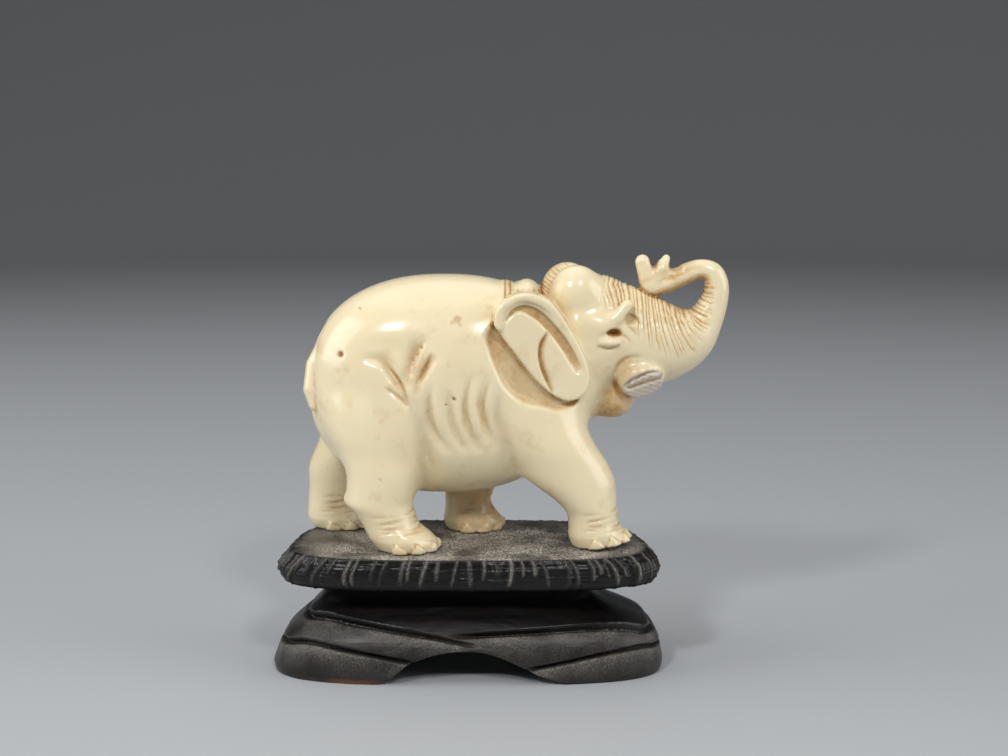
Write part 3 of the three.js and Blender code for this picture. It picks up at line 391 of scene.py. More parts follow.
# The camera stands where the photograph was taken: degrees down, and the rest in millimetres
CAMERA = {"place": (8.6, -375.8, 124.8), "down": 8.5, "sensor": 36, "lens": 57.14, "clip": 10}


class FigureSettings(bpy.types.PropertyGroup):
    """Sizes of the carving"""
    ridge_pitch: FloatProperty(
        name="Trunk ridge spacing", description="From one groove across the trunk to the next",
        default=1.12 * MM, min=0.8 * MM, max=4 * MM, unit="LENGTH")
    ridge_depth: FloatProperty(
        name="Trunk ridge depth", description="Depth of the grooves across the trunk",
        default=0.3 * MM, min=0, max=1 * MM, unit="LENGTH")
    nail_height: FloatProperty(
        name="Toenail height", description="Height of the three-cornered facets round each foot",
        default=2.7 * MM, min=1 * MM, max=6 * MM, unit="LENGTH")
    nail_depth: FloatProperty(
        name="Toenail depth", description="How far the facets stand out of the gaps between them at the sole",
        default=1.3 * MM, min=0, max=3 * MM, unit="LENGTH")


def linear(hex_colour):
    """Turns an sRGB hex colour into linear red, green and blue."""
    parts = [int(hex_colour[i:i + 2], 16) / 255 for i in (1, 3, 5)]
    return tuple(p / 12.92 if p <= 0.04045 else ((p + 0.055) / 1.055) ** 2.4 for p in parts)


def smooth_min(a, b, k):
    """Joins two fields: the lower of the two, less a rounded valley k wide where they meet."""
    h = np.maximum(k - np.abs(a - b), 0) / k
    return np.minimum(a, b) - h * h * (k / 4)


def smooth_max(a, b, k):
    """Cuts one field by another with a rounded edge k wide."""
    return -smooth_min(-a, -b, k)


def smoothstep(low, high, t):
    """Rises from 0 at low to 1 at high on a cubic that is flat at both ends."""
    t = np.clip((t - low) / (high - low), 0, 1)
    return t * t * (3 - 2 * t)


def egg(x, v, z, centre, reach, power=2):
    """Distance to an egg: its size less one, over the slope of that size; a higher power fills it out."""
    d = [np.abs(p - c) / r for p, c, r in zip((x, v, z), centre, reach)]
    size = sum(p**power for p in d) ** (1 / power) + TINY
    slope = np.sqrt(sum(((p / size) ** (power - 1) / r) ** 2 for p, r in zip(d, reach)))
    return (size - 1) / (slope + TINY)


def rod(x, v, z, start, end, radii):
    """Distance to a rod whose radius runs from one end's to the other's."""
    e = [b - a for a, b in zip(start, end)]
    d = [p - a for p, a in zip((x, v, z), start)]
    t = np.clip(sum(p * q for p, q in zip(d, e)) / sum(q * q for q in e), 0, 1)
    gap = np.sqrt(sum((p - q * t) ** 2 for p, q in zip(d, e)))
    return gap - (radii[0] + (radii[1] - radii[0]) * t)


def rod_chain(x, v, z, rows):
    """Distance to rods end to end through rows of place and radius."""
    rods = [rod(x, v, z, a[:3], b[:3], (a[3], b[3])) for a, b in zip(rows[:-1], rows[1:])]
    return np.minimum.reduce(rods)


def curve_through(points, count):
    """Points evenly spaced in parameter on the smooth curve through the given ones (Catmull-Rom)."""
    p = np.asarray(points, float)
    p = np.vstack([2 * p[0] - p[1], p, 2 * p[-1] - p[-2]])
    s = np.linspace(0, len(points) - 1, count)
    i = np.minimum(s.astype(int), len(points) - 2)
    t = (s - i)[:, None]
    a, b, c, d = p[i], p[i + 1], p[i + 2], p[i + 3]
    return 0.5 * (2 * b + (c - a) * t + (2 * a - 5 * b + 4 * c - d) * t**2 + (3 * b - a - 3 * c + d) * t**3)


def read_rows(rows, at):
    """Each further column of the rows, read at values of the first on a cubic through them."""
    table = np.asarray(rows, float)
    keys = table[:, 0]
    i = np.clip(np.searchsorted(keys, at) - 1, 0, len(keys) - 2)
    step = keys[i + 1] - keys[i]
    t = np.clip((at - keys[i]) / step, 0, 1)
    blend = ((1 + 2 * t) * (1 - t) ** 2, t * (1 - t) ** 2 * step, t * t * (3 - 2 * t), t * t * (t - 1) * step)
    columns = []
    for column in table[:, 1:].T:
        slope = np.gradient(column, keys)
        ends = (column[i], slope[i], column[i + 1], slope[i + 1])
        columns.append(sum(weight * value for weight, value in zip(blend, ends)))
    return columns


def spot(place, centre, reach):
    """A soft spot: 1 at its centre, falling off as a bell of the distance over its reach along each axis."""
    return np.exp(-sum(((p - c) / r) ** 2 for p, c, r in zip(place, centre, reach)))


def in_box(x, z, box):
    """Which points lie in a box of the side view, given by its low and high corners."""
    low, high = box
    return (x > low[0]) & (x < high[0]) & (z > low[1]) & (z < high[1])


def near_line(x, z, line, within):
    """Distance to a line of the side view, the share of the line passed, and the side: 1 to its left.

    Points further than within from the line's box are given a far distance without being measured.
    """
    line = np.asarray(line, float)
    close = in_box(x, z, (line.min(0) - within, line.max(0) + within))
    gap, share, side = np.full(x.shape, FAR_OFF), np.zeros(x.shape), np.ones(x.shape)
    px, pz = x[close], z[close]
    best, passed, hand = np.full(px.shape, FAR_OFF), np.zeros(px.shape), np.ones(px.shape)
    for i, (a, b) in enumerate(zip(line[:-1], line[1:])):
        ex, ez = b - a
        wx, wz = px - a[0], pz - a[1]
        t = np.clip((wx * ex + wz * ez) / (ex * ex + ez * ez), 0, 1)
        d = np.hypot(wx - ex * t, wz - ez * t)
        nearer = d < best
        best = np.where(nearer, d, best)
        passed = np.where(nearer, (i + t) / (len(line) - 1), passed)
        hand = np.where(nearer, np.where(ex * wz - ez * wx >= 0, 1.0, -1.0), hand)
    gap[close], share[close], side[close] = best, passed, hand
    return gap, share, side


def crease(x, z, line, width):
    """A groove along a line: a bell across it, shallower towards both ends."""
    gap, share, _ = near_line(x, z, line, 3 * width)
    return np.exp(-((gap / width) ** 2)) * np.clip(4 * share * (1 - share), 0, 1)


def lapped_cut(x, z, line, sharp, flat, slope):
    """A cut that drops sharply on the line's right, stays flat on its left and then climbs back.

    The flat narrows towards the end of the line.
    """
    gap, share, side = near_line(x, z, line, flat + 4 * slope)
    flat = flat * (1 - CUT_TAPER["by"] * smoothstep(*CUT_TAPER["over"], share))
    across = np.where(side > 0, np.exp(-np.maximum(gap - flat, 0) / slope), np.exp(-((gap / sharp) ** 2)))
    return across * np.sqrt(np.clip(6 * share * (1 - share), 0, 1))


def outline_gap(x, z, outline):
    """Signed distance to a closed outline of the side view, negative inside (crossings counted)."""
    gap = np.full(x.shape, FAR_OFF)
    inside = np.zeros(x.shape, bool)
    for a, b in zip(outline, np.roll(outline, -1, axis=0)):
        ex, ez = b - a
        t = np.clip(((x - a[0]) * ex + (z - a[1]) * ez) / (ex * ex + ez * ez), 0, 1)
        gap = np.minimum(gap, np.hypot(x - a[0] - ex * t, z - a[1] - ez * t))
        crosses = (a[1] > z) != (b[1] > z)
        inside ^= crosses & (x < a[0] + ex * (z - a[1]) / (ez if abs(ez) > TINY else TINY))
    return np.where(inside, -gap, gap)


# The drawn lines as smooth curves, each with the number of points that it needs
EAR_OUTLINE = curve_through(EAR + EAR[:1], 57)[:-1]
EAR_WEDGE_OUTLINE = curve_through(EAR_WEDGE["outline"] + EAR_WEDGE["outline"][:1], 48)[:-1]
EAR_ROLL_LINE = curve_through(EAR_ROLL["line"], 28)
EAR_CHANNEL_LINE = curve_through(EAR_CHANNEL["line"], 28)
EAR_FOLD_LINE = curve_through(EAR_FOLD["line"], 20)
TUSK_BREAK_LINES = [curve_through(line, 4 * len(line)) for line in TUSK_LINES["lines"]]
CREASE_LINES = [
    (curve_through(line, 4 * len(line)), start, *rest)
    for creases, start in ((FLANK_CREASES, FLANK_FROM), (FACE_CREASES, FACE_FROM), (TIP_CREASES, TIP_FROM))
    for line, *rest in creases
]
SPINE = curve_through(TRUNK, TRUNK_SAMPLES)
SPINE_ALONG = np.linspace(0, 1, TRUNK_SAMPLES)
SPINE_FLATNESS = TRUNK_FLATNESS["root"] + (1 - TRUNK_FLATNESS["root"]) * smoothstep(
    TRUNK_FLATNESS["from"], TRUNK_FLATNESS["round"], SPINE_ALONG)


def spine_table():
    """Columns read along the trunk: place, course, inward direction, radius, bend and travel over the ridges.

    One more row stands before the root, straight back along the course there.
    """
    course = np.gradient(SPINE[:, :2], SPINE_ALONG, axis=0)
    speed = np.linalg.norm(course, axis=1)[:, None]
    inward = np.stack([-course[:, 1], course[:, 0]], axis=1) / speed
    turning = np.gradient(course / speed, SPINE_ALONG, axis=0) / speed
    bend = (turning * inward).sum(1)[:, None]
    line = SPINE[:, :2] + inward * SPINE[:, 2:] * RIDGES_AT
    travel = np.concatenate([[0], np.cumsum(np.linalg.norm(np.diff(line, axis=0), axis=1))])[:, None]
    table = np.hstack([SPINE[:, :2], course, inward, SPINE[:, 2:], bend, travel])
    before = table[0].copy()
    before[:2] += SPINE_BEFORE * course[0]
    before[-1] += SPINE_BEFORE * speed[0, 0]
    return np.vstack([before, table])


SPINE_TABLE = spine_table()
TABLE_ALONG = np.append(SPINE_BEFORE, SPINE_ALONG)


def at_spine(along, *columns):
    """The named columns of the spine's table at places along the trunk."""
    names = ["x", "z", "course_x", "course_z", "inward_x", "inward_z", "radius", "bend", "travel"]
    return [np.interp(along, TABLE_ALONG, SPINE_TABLE[:, names.index(column)]) for column in columns]


def trunk_field(x, v, z):
    """Distance to the trunk, a chain of rods flattened sideways near its root, and the place along it."""
    close = x > TRUNK_FROM
    far, start = np.full(x.shape, FAR_OFF), np.full(x.shape, SPINE_BEFORE)
    x, v, z = x[close], v[close], z[close]
    field, along = np.full(x.shape, FAR_OFF), np.zeros(x.shape)
    for i in range(TRUNK_SAMPLES - 1):
        a, b = SPINE[i], SPINE[i + 1]
        ex, ez = b[:2] - a[:2]
        wx, wz = x - a[0], z - a[1]
        t = np.clip((wx * ex + wz * ez) / (ex * ex + ez * ez), 0, 1)
        flat = v / SPINE_FLATNESS[i]
        gap = np.sqrt((wx - ex * t) ** 2 + (wz - ez * t) ** 2 + flat * flat) - (a[2] + (b[2] - a[2]) * t)
        nearer = gap < field
        field = np.where(nearer, gap, field)
        along = np.where(nearer, SPINE_ALONG[i] + t * SPINE_ALONG[1], along)
    # A few steps slide each place along the trunk until it is square to the point
    for _ in range(4):
        px, pz, dx, dz = at_spine(along, "x", "z", "course_x", "course_z")
        step = ((x - px) * dx + (z - pz) * dz) / (dx * dx + dz * dz)
        along = np.clip(along + np.clip(step, SLIDE_BACK, SPINE_ALONG[1]), SPINE_BEFORE, 1)
    far[close], start[close] = field, along
    return far, start


def waves(t, rows):
    """Sum of sines: each row's height times the sine of its rate times t plus its shift."""
    return sum(height * np.sin(rate * t + shift) for height, rate, shift in rows)


def trunk_ridges(x, v, z, along):
    """The ridges across the trunk: the count passed, where they show, their spacing, and the cosine round it.

    The count is the travel along the trunk over the spacing, made uneven, and slants forward with the drop
    from the trunk's inner side. They show from the forehead to the curl, down to varied heights.
    """
    pitch = bpy.context.scene.figure.ridge_pitch / MM
    px, pz, nx, nz = at_spine(along, "x", "z", "inward_x", "inward_z")
    radius, bend, travel = at_spine(along, "radius", "bend", "travel")
    inward = (x - px) * nx + (z - pz) * nz
    facing = inward / (np.sqrt((x - px) ** 2 + v * v + (z - pz) ** 2) + TINY)
    drop = np.maximum(radius - inward, 0) * np.interp(along, *np.transpose(RIDGE_SLANTS))
    count = (travel - drop) / pitch
    count = count + waves(count, RIDGE_UNEVEN)
    spacing = pitch * (1 - bend * inward) / (1 - bend * RIDGES_AT * radius)
    lengths = waves(np.round(count), RIDGE_LENGTHS)
    limit = np.interp(along, *np.transpose(RIDGE_LIMITS))
    shown = smoothstep(*RIDGE_EDGE, facing + lengths - limit)
    shown *= smoothstep(*RIDGES_START, along) * (1 - smoothstep(*RIDGES_END, along))
    return count, shown, spacing, facing


def groove_shape(count, spacing):
    """Narrow grooves between rounded ridges: one where the count passes each whole number."""
    off = np.abs(count - np.round(count)) * spacing
    return np.exp(-((off / GROOVE_WIDTH) ** 2))


def ear_face(x, z):
    """How far the ear's outer face stands from the midplane: a leaning plane, raised along its rolled rim."""
    face = EAR_FACE["stand"] - EAR_FACE["taper"] * (x - EAR_FACE["at"])
    gap, share, _ = near_line(x, z, EAR_ROLL_LINE, 2)
    round_top = np.sqrt(np.clip(1 - (gap / EAR_ROLL["width"]) ** 2, 0, 1))
    return face + EAR_ROLL["height"] * round_top * (1 - smoothstep(*EAR_ROLL["run_out"], share))


def ear_cuts(x, z):
    """Depths of the ear's two cuts: its carved channel and its crescent fold."""
    depths = []
    for ear_cut, line in ((EAR_CHANNEL, EAR_CHANNEL_LINE), (EAR_FOLD, EAR_FOLD_LINE)):
        across = lapped_cut(x, z, line, ear_cut["sharp"], ear_cut["flat"], ear_cut["slope"])
        depths.append(across * ear_cut["depth"])
    return depths


def ear_field(x, side, z):
    """Both ears: the outline carried inwards from the carved outer face."""
    field = np.full(x.shape, FAR_OFF)
    close = in_box(x, z, EAR_BOX) & (side > EAR_INSIDE)
    px, ps, pz = x[close], side[close], z[close]
    face = ear_face(px, pz) - sum(ear_cuts(px, pz))
    ear = smooth_max(outline_gap(px, pz, EAR_OUTLINE), ps - face, JOIN["ear_edge"])
    field[close] = smooth_max(ear, face - EAR_FACE["depth"] - ps, JOIN["ear_edge"])
    return field


def leg_field(x, v, z, rows):
    """One leg: an oval whose centre and half widths follow its rows."""
    cx, rx, cv, rv = read_rows(rows, z)
    near = np.hypot((x - cx) / rx, (v - cv) / rv) + TINY
    slope = np.hypot((x - cx) / rx**2, (v - cv) / rv**2) + TINY
    return smooth_max(near * (near - 1) / slope, z - LEG_TOP, JOIN["leg_top"])


def sole_height(x, v):
    """Height of the soles: just over the plate, rising under the near front foot's lifted toes."""
    lift = np.where(v < 0, np.maximum(x - LIFTED_TOE["from"], 0) * LIFTED_TOE["slope"], 0)
    return PLATE_TOP + SOLE_GAP + lift


def foot_carving(x, v, z, rows):
    """Toenails and ankle wrinkles of one foot: how deep they are cut, and how brown.

    A nail is a facet that stands out most at the sole and runs out upwards and to both sides of its angle;
    the gaps between the nails are cut back at the sole, and brown lies along each nail's edge.
    A wrinkle is a bell in height, tilted with the angle round the ankle, and strongest in front.
    """
    figure = bpy.context.scene.figure
    cx, rx, cv, rv = read_rows(rows, z)
    angle = np.arctan2((v - cv) / rv, (x - cx) / rx)
    near = np.hypot((x - cx) / rx, (v - cv) / rv)
    comes, goes = OWN_FOOT
    own = smoothstep(*comes, near) * (1 - smoothstep(*goes, near))
    rise = (z - sole_height(x, v)) / (figure.nail_height / MM)
    off = np.min([np.abs(angle - toe) for toe in TOE_ANGLES], axis=0) / NAIL_HALF_ANGLE
    inside = 1 - rise - off
    nail = NAIL["step"] * smoothstep(*NAIL["edge"], inside) + (1 - NAIL["step"]) * np.clip(inside, 0, 1)
    sink = (NAIL["cut_back"] * np.clip(1 - rise, 0, 1) - nail) * figure.nail_depth / MM
    stain_and_shade = NAIL["brown"] * np.exp(-(((inside - NAIL["line"]) / NAIL["line_width"]) ** 2)) * (rise < 1)
    front = smoothstep(*ANKLE["front"], np.cos(angle))
    for height, width, depth in ANKLE_WRINKLES:
        level = height + ANKLE["tilt"] * np.cos(angle) + ANKLE["wave"] * np.sin(3 * angle + 2 * height)
        broken = 1 - ANKLE["faint"] + ANKLE["faint"] * np.sin(4 * angle + 5 * height)
        bell = np.exp(-(((z - level) / width) ** 2)) * front * broken
        sink = sink + depth * bell
        stain_and_shade = np.maximum(stain_and_shade, ANKLE["brown"] * bell)
    return sink * own, stain_and_shade * own


def ear_wedge(x, z):
    """The sunk wedge behind the ear, from 0 outside to 1 well inside its outline."""
    wedge = np.zeros(x.shape)
    close = in_box(x, z, WEDGE_BOX)
    wedge[close] = smoothstep(*EAR_WEDGE["edge"], outline_gap(x[close], z[close], EAR_WEDGE_OUTLINE))
    return wedge


def carving(x, v, z):
    """All the fine cutting: how deep it is at a point near the surface, and how brown."""
    side = np.abs(v)
    sink, stain_and_shade = np.zeros(x.shape), np.zeros(x.shape)
    flank = smoothstep(*FLANK_FROM, side)
    for line, start, width, depth, brown in CREASE_LINES:
        bell = crease(x, z, line, width) * smoothstep(*start, side)
        sink += depth * bell
        stain_and_shade = np.maximum(stain_and_shade, brown * bell)
    for centre, reach, depth in FLANK_HOLLOWS:
        sink += depth * spot((x, z), centre, reach) * flank
    wedge = ear_wedge(x, z) * flank
    sink += EAR_WEDGE["depth"] * wedge
    stain_and_shade = np.maximum(stain_and_shade, EAR_WEDGE["brown"] * smoothstep(*EAR_WEDGE["brown_edge"], wedge))
    for centre, reach, brown in FLANK_STAINS:
        stain_and_shade = np.maximum(stain_and_shade, brown * spot((x, z), centre, reach) * flank)
    for centre, size, depth, brown in PITS:
        dot = spot((x, z), centre, (size, size)) * flank * (v < 0)
        sink += depth * dot
        stain_and_shade = np.maximum(stain_and_shade, brown * smoothstep(*PIT_EDGE, dot))
    foot = z < FOOT_TOP
    for rows in LEGS.values():
        cut, brown = foot_carving(x[foot], v[foot], z[foot], rows)
        sink[foot] += cut
        stain_and_shade[foot] = np.maximum(stain_and_shade[foot], brown)
    for groove, width in NAPE_GROOVES:
        bell = np.exp(-(((x - groove + NAPE["wave"] * np.sin(1.3 * v)) / width) ** 2))
        bell *= smoothstep(*NAPE["over"], z) * (1 - smoothstep(*NAPE["inside"], side))
        stain_and_shade = np.maximum(stain_and_shade, NAPE["brown"] * bell)
    dashes = np.sin(np.pi * x / NAPE_DOTS["pitch"]) ** 4 * (x > NAPE_DOTS["from"]) * (x < NAPE_DOTS["to"])
    dashes *= np.exp(-(((z - NAPE_DOTS["height"]) / NAPE_DOTS["thick"]) ** 2))
    least, most = NAPE_DOTS["sides"]
    stain_and_shade = np.maximum(stain_and_shade, NAPE_DOTS["brown"] * dashes * (side > least) * (side < most))
    # Tan places; under the jaw, on the far front leg and under the belly they hold painted shade
    for centre, reach, brown in TAN_AND_SHADE_PLACES:
        stain_and_shade = np.maximum(stain_and_shade, brown * spot((x, v, z), centre, reach))
    return sink, stain_and_shade


def tusk_line(x, z):
    """The curved lines in the tusk's broken face: a bell across each."""
    gap = np.min([near_line(x, z, line, 3)[0] for line in TUSK_BREAK_LINES], axis=0)
    return np.exp(-((gap / TUSK_LINES["width"]) ** 2))


def tusk_face(x, side, z):
    """Height over the face that the tusk is broken along: a slanting plane, rough and lined."""
    plane = sum((p - a) * n for p, a, n in zip((x, side, z), TUSK_FACE["at"], TUSK_FACE["normal"]))
    rough = TUSK_FACE["rough"] * np.sin(3.1 * x + 2 * z) * np.sin(3.7 * z - 1.3 * x)
    return plane + rough + TUSK_LINES["depth"] * tusk_line(x, z)


def tusk_socket(x, side, z):
    """The sheath of the broken tusk: an egg cut off by the break."""
    return smooth_max(egg(x, side, z, **TUSK_SHEATH), tusk_face(x, side, z), JOIN["sole"])


def elephant_form(x, v, z):
    """The elephant's masses joined into one field that is negative inside, with its trunk's place along."""
    side = np.abs(v)
    field = egg(x, v, z, **BODY)
    field = smooth_min(field, egg(x, v, z, **NECK), JOIN["neck"])
    for rows in LEGS.values():
        field = smooth_min(field, leg_field(x, v, z, rows), JOIN["leg"])
    tail = rod_chain(x, v, z, TAIL)
    field = field + TAIL_GROOVE["depth"] * np.exp(-((np.maximum(tail, 0) / TAIL_GROOVE["width"]) ** 2))
    field = smooth_min(field, tail, JOIN["crisp"])
    field = smooth_min(field, egg(x, v, z, **HOCK), JOIN["sheath"])
    head = egg(x, v, z, **HEAD)
    dome_x = x + FAR_DOME_BACK["by"] * smoothstep(*FAR_DOME_BACK["across"], v)
    head = smooth_min(head, egg(dome_x, side, z, **DOME), JOIN["dome"])
    head = smooth_min(head, rod_chain(x, v / TRUNK_FLATNESS["root"], z, TRUNK_ROOT), JOIN["root"])
    head = smooth_min(head, egg(x, v, z, **JAW), JOIN["jaw"])
    field = smooth_min(field, head, JOIN["head"])
    for roll in NAPE_ROLLS:
        field = smooth_min(field, egg(x, v, z, **roll), JOIN["nape"])
    trunk, along = trunk_field(x, v, z)
    field = smooth_min(field, trunk, JOIN["trunk"])
    field = smooth_min(field, rod_chain(x, side, z, BROW[:2]), JOIN["jaw"])
    field = smooth_min(field, rod_chain(x, side, z, BROW[1:]), JOIN["crisp"])
    for hollow in (EYE, BROW_HOLLOW):
        field = smooth_max(field, -egg(x, side, z, **hollow), JOIN["crisp"])
    field = smooth_min(field, egg(x, side, z, **EYELID), JOIN["crisp"])
    field = smooth_min(field, tusk_socket(x, side, z), JOIN["sheath"])
    field = smooth_min(field, egg(x, v, z, **FINGER_BASE), JOIN["crisp"])
    for finger in FINGERS:
        field = smooth_min(field, rod(x, v, z, **finger), JOIN["crisp"])
    for hollow in FINGER_HOLLOWS:
        field = smooth_max(field, -egg(x, v, z, **hollow), JOIN["crisp"])
    return field, trunk, along


def elephant_field(x, v, z):
    """The masses with the trunk's grooves and the fine carving sunk into them, the ears and flat soles."""
    field, trunk, along = elephant_form(x, v, z)
    on_trunk = trunk < TRUNK_SKIN[1]
    count, shown, spacing, _ = trunk_ridges(x[on_trunk], v[on_trunk], z[on_trunk], along[on_trunk])
    field[on_trunk] += shown * groove_shape(count, spacing) * bpy.context.scene.figure.ridge_depth / MM
    field = field + carving(x, v, z)[0]
    field = smooth_min(field, ear_field(x, np.abs(v), z), JOIN["ear"])
    return smooth_max(field, sole_height(x, v) - z, JOIN["sole"])


def grid_line(*spans):
    """Grid lines through spans of start, end and spacing."""
    lines = [np.arange(start, end - TINY, step) for start, end, step in spans]
    return np.concatenate(lines + [[spans[-1][1]]])


# Spacing in millimetres: finer on the head and feet
ELEPHANT_GRID = (
    grid_line((-42, 4, 0.66), (4, 64, 0.42)),
    grid_line((-22, 22.1, 0.5)),
    grid_line((28.6, 40, 0.44), (40, 62, 0.64), (62, 100, 0.42)),
)


def in_chunks(field, points):
    """Reads a field at many points, a chunk at a time."""
    chunks = [points[i:i + CHUNK] for i in range(0, len(points), CHUNK)]
    return np.concatenate([field(*chunk.T) for chunk in chunks])


def field_on_grid(field, grid):
    """The field on every grid point near the surface; further off, the nearest value of a coarse grid."""
    coarse = [line[::COARSE] for line in grid]
    points = np.stack(np.meshgrid(*coarse, indexing="ij"), axis=-1).reshape(-1, 3)
    rough = in_chunks(field, points).reshape([len(line) for line in coarse])
    nearest = [np.minimum((np.arange(len(line)) + COARSE // 2) // COARSE, len(few) - 1)
               for line, few in zip(grid, coarse)]
    values = rough[np.ix_(*nearest)]
    close = np.abs(values) < NEAR_SURFACE
    places = np.argwhere(close)
    values[close] = in_chunks(field, np.stack([line[i] for line, i in zip(grid, places.T)], axis=1))
    return values


def fill_narrow_gaps(values):
    """Fills what is narrower than a cell, where a face's corners are in and out by turns."""
    again = True
    while again:
        again = False
        for axis in range(3):
            turned = np.moveaxis(values, axis, 0)
            a, b, c, d = turned[:, :-1, :-1], turned[:, 1:, :-1], turned[:, 1:, 1:], turned[:, :-1, 1:]
            checked = ((a < 0) == (c < 0)) & ((b < 0) == (d < 0)) & ((a < 0) != (b < 0))
            if not checked.any():
                continue
            again = True
            k, i, j = np.nonzero(checked)
            first_out = turned[k, i, j] >= 0
            turned[k, i + ~first_out, j] = -TINY
    return values


def skin(values, grid):
    """Surface nets: a point in each cell that the surface crosses, at the mean of its edges' crossings."""
    inside = values < 0
    counts = values.shape
    within = np.zeros([count - 1 for count in counts], int)
    for corner in np.ndindex(2, 2, 2):
        within += inside[tuple(slice(start, count - 1 + start) for start, count in zip(corner, counts))]
    crossed = (within > 0) & (within < 8)
    cells = np.argwhere(crossed)
    index = np.full(crossed.shape, -1)
    index[crossed] = np.arange(len(cells))
    total, crossings = np.zeros((len(cells), 3)), np.zeros(len(cells))
    quads = []
    for axis in range(3):
        u, w = (axis + 1) % 3, (axis + 2) % 3
        unit = np.eye(3, dtype=int)
        for start in (0 * unit[u], unit[u], unit[w], unit[u] + unit[w]):
            a = cells + start
            b = a + unit[axis]
            va, vb = values[tuple(a.T)], values[tuple(b.T)]
            cut = (va < 0) != (vb < 0)
            t = np.where(cut, va / np.where(cut, va - vb, 1), 0)
            pa, pb = (np.stack([line[i] for line, i in zip(grid, p.T)], axis=1) for p in (a, b))
            total += np.where(cut[:, None], pa + (pb - pa) * t[:, None], 0)
            crossings += cut
        low = np.moveaxis(inside, axis, 0)[:-1]
        high = np.moveaxis(inside, axis, 0)[1:]
        edges = np.argwhere(np.moveaxis(low != high, 0, axis))
        first = inside[tuple(edges.T)]
        back = (unit[u] + unit[w], unit[w], 0 * unit[u], unit[u])
        quad = np.stack([index[tuple((edges - step).T)] for step in back], axis=1)
        quads.append(np.where(first[:, None], quad, quad[:, ::-1]))
    return total / crossings[:, None], np.vstack(quads)


def slope_at(field, points, step=0.06):
    """The field's slope at points, by differences to both sides along each axis."""
    slopes = []
    for axis in np.eye(3) * step:
        slopes.append((in_chunks(field, points + axis) - in_chunks(field, points - axis)) / (2 * step))
    return np.stack(slopes, axis=1)


def onto_surface(field, points, moves=2, most=0.22):
    """Moves points along the field's slope onto the surface, never further than most at a time."""
    for _ in range(moves):
        slope = slope_at(field, points)
        away = in_chunks(field, points)[:, None] * slope / np.maximum((slope**2).sum(1), 0.1)[:, None]
        length = np.linalg.norm(away, axis=1)[:, None] + TINY
        points = points - away * np.minimum(1, most / length)
    return points


def far_dome_wrinkles(x, v, z):
    """How many of the far dome's slanting wrinkles are passed, and how strongly they show."""
    count = (z + FAR_DOME["slant"] * x + FAR_DOME["wave"] * np.sin(1.3 * x + v)) / FAR_DOME["pitch"]
    shown = FAR_DOME["strength"] * smoothstep(*FAR_DOME["past"], v) * smoothstep(*FAR_DOME["over"], z)
    return count, shown * smoothstep(*FAR_DOME["front"], x) * smoothstep(*FAR_DOME["back"], x)


def room_lost(points, normals, hollow):
    """Share of a step out from the surface that other parts take up, eased over the hollow's range."""
    open_room = in_chunks(elephant_field, points + normals * hollow["reach"]) / hollow["reach"]
    return smoothstep(*hollow["range"], 1 - open_room)


def trunk_stain(along, facing):
    """Brown inside the trunk's curl and on the upper side of its tip."""
    inside = smoothstep(*CURL["along"], along) * smoothstep(*CURL["facing"], facing)
    on_top = smoothstep(*TIP["along"], along) * (1 - smoothstep(*TIP["facing"], facing))
    return np.maximum(CURL["brown"] * inside, TIP["brown"] * on_top)


def ear_stain(x, z):
    """Brown in the ear's channel and fold, from the depth of each."""
    brown = np.zeros(x.shape)
    for ear_cut, depth in zip((EAR_CHANNEL, EAR_FOLD), ear_cuts(x, z)):
        brown += ear_cut["brown"] * smoothstep(*ear_cut["brown_edge"], depth)
    return brown


def elephant_stain_and_shade(points, normals):
    """How brown each point is from 0 to 1, its place on the ridges and wrinkles, and where the tusk broke.

    Brown sits in the creases and where a short step out from the surface stays near another part; painted
    shade in the same brown lies where a longer step does.
    """
    x, v, z = points.T
    side = np.abs(v)
    trunk, along = trunk_field(x, v, z)
    count, shown, spacing, facing = trunk_ridges(x, v, z, along)
    on_trunk = 1 - smoothstep(*TRUNK_SKIN, trunk)
    brow_hollow = egg(x, side, z, **BROW_HOLLOW)
    ridged = shown * on_trunk * smoothstep(0, 1, brow_hollow)
    ear_gap = outline_gap(x, z, EAR_OUTLINE)
    on_ear = smoothstep(*EAR_SKIN, side - ear_face(x, z)) * (ear_gap < EAR_MARGIN)
    temple = smoothstep(*TEMPLE["gap"], np.abs(ear_gap))
    temple *= smoothstep(*TEMPLE["past"], x) * smoothstep(*TEMPLE["over"], z)
    cavity = room_lost(points, normals, CAVITY) * (1 - TEMPLE["clean"] * temple)
    stain_and_shade = np.maximum(carving(x, v, z)[1] * (1 - on_ear), CAVITY["brown"] * cavity)
    # Painted shade in the same brown, where a longer step out stays near other parts
    stain_and_shade += PAINTED_SHADE["brown"] * room_lost(points, normals, PAINTED_SHADE)
    more = [
        RIDGE_BROWN * ridged,
        trunk_stain(along, facing) * on_trunk,
        ear_stain(x, z) * on_ear,
        EYE_BROWN * smoothstep(*EYE_EDGE, egg(x, side, z, **EYE)),
        BROW_BROWN * smoothstep(*BROW_EDGE, brow_hollow),
    ]
    stain_and_shade = np.clip(np.maximum.reduce([stain_and_shade, *more]), 0, 1)
    broken = smoothstep(*BREAK_EDGE, tusk_face(x, side, z))
    broken *= smoothstep(*SHEATH_EDGE, egg(x, side, z, **TUSK_SHEATH))
    stain_and_shade = stain_and_shade * (1 - broken) + BREAK_BROWN * broken * tusk_line(x, z)
    wrinkles, wrinkled = far_dome_wrinkles(x, v, z)
    wrinkled *= 1 - on_trunk
    return {
        "stain_and_shade": stain_and_shade,
        "ridge_count": np.where(wrinkled > 0, wrinkles, count),
        "ridge_spacing": np.where(wrinkled > 0, FAR_DOME["pitch"], spacing),
        "ridged": np.maximum(ridged, wrinkled),
        "broken": broken,
    }


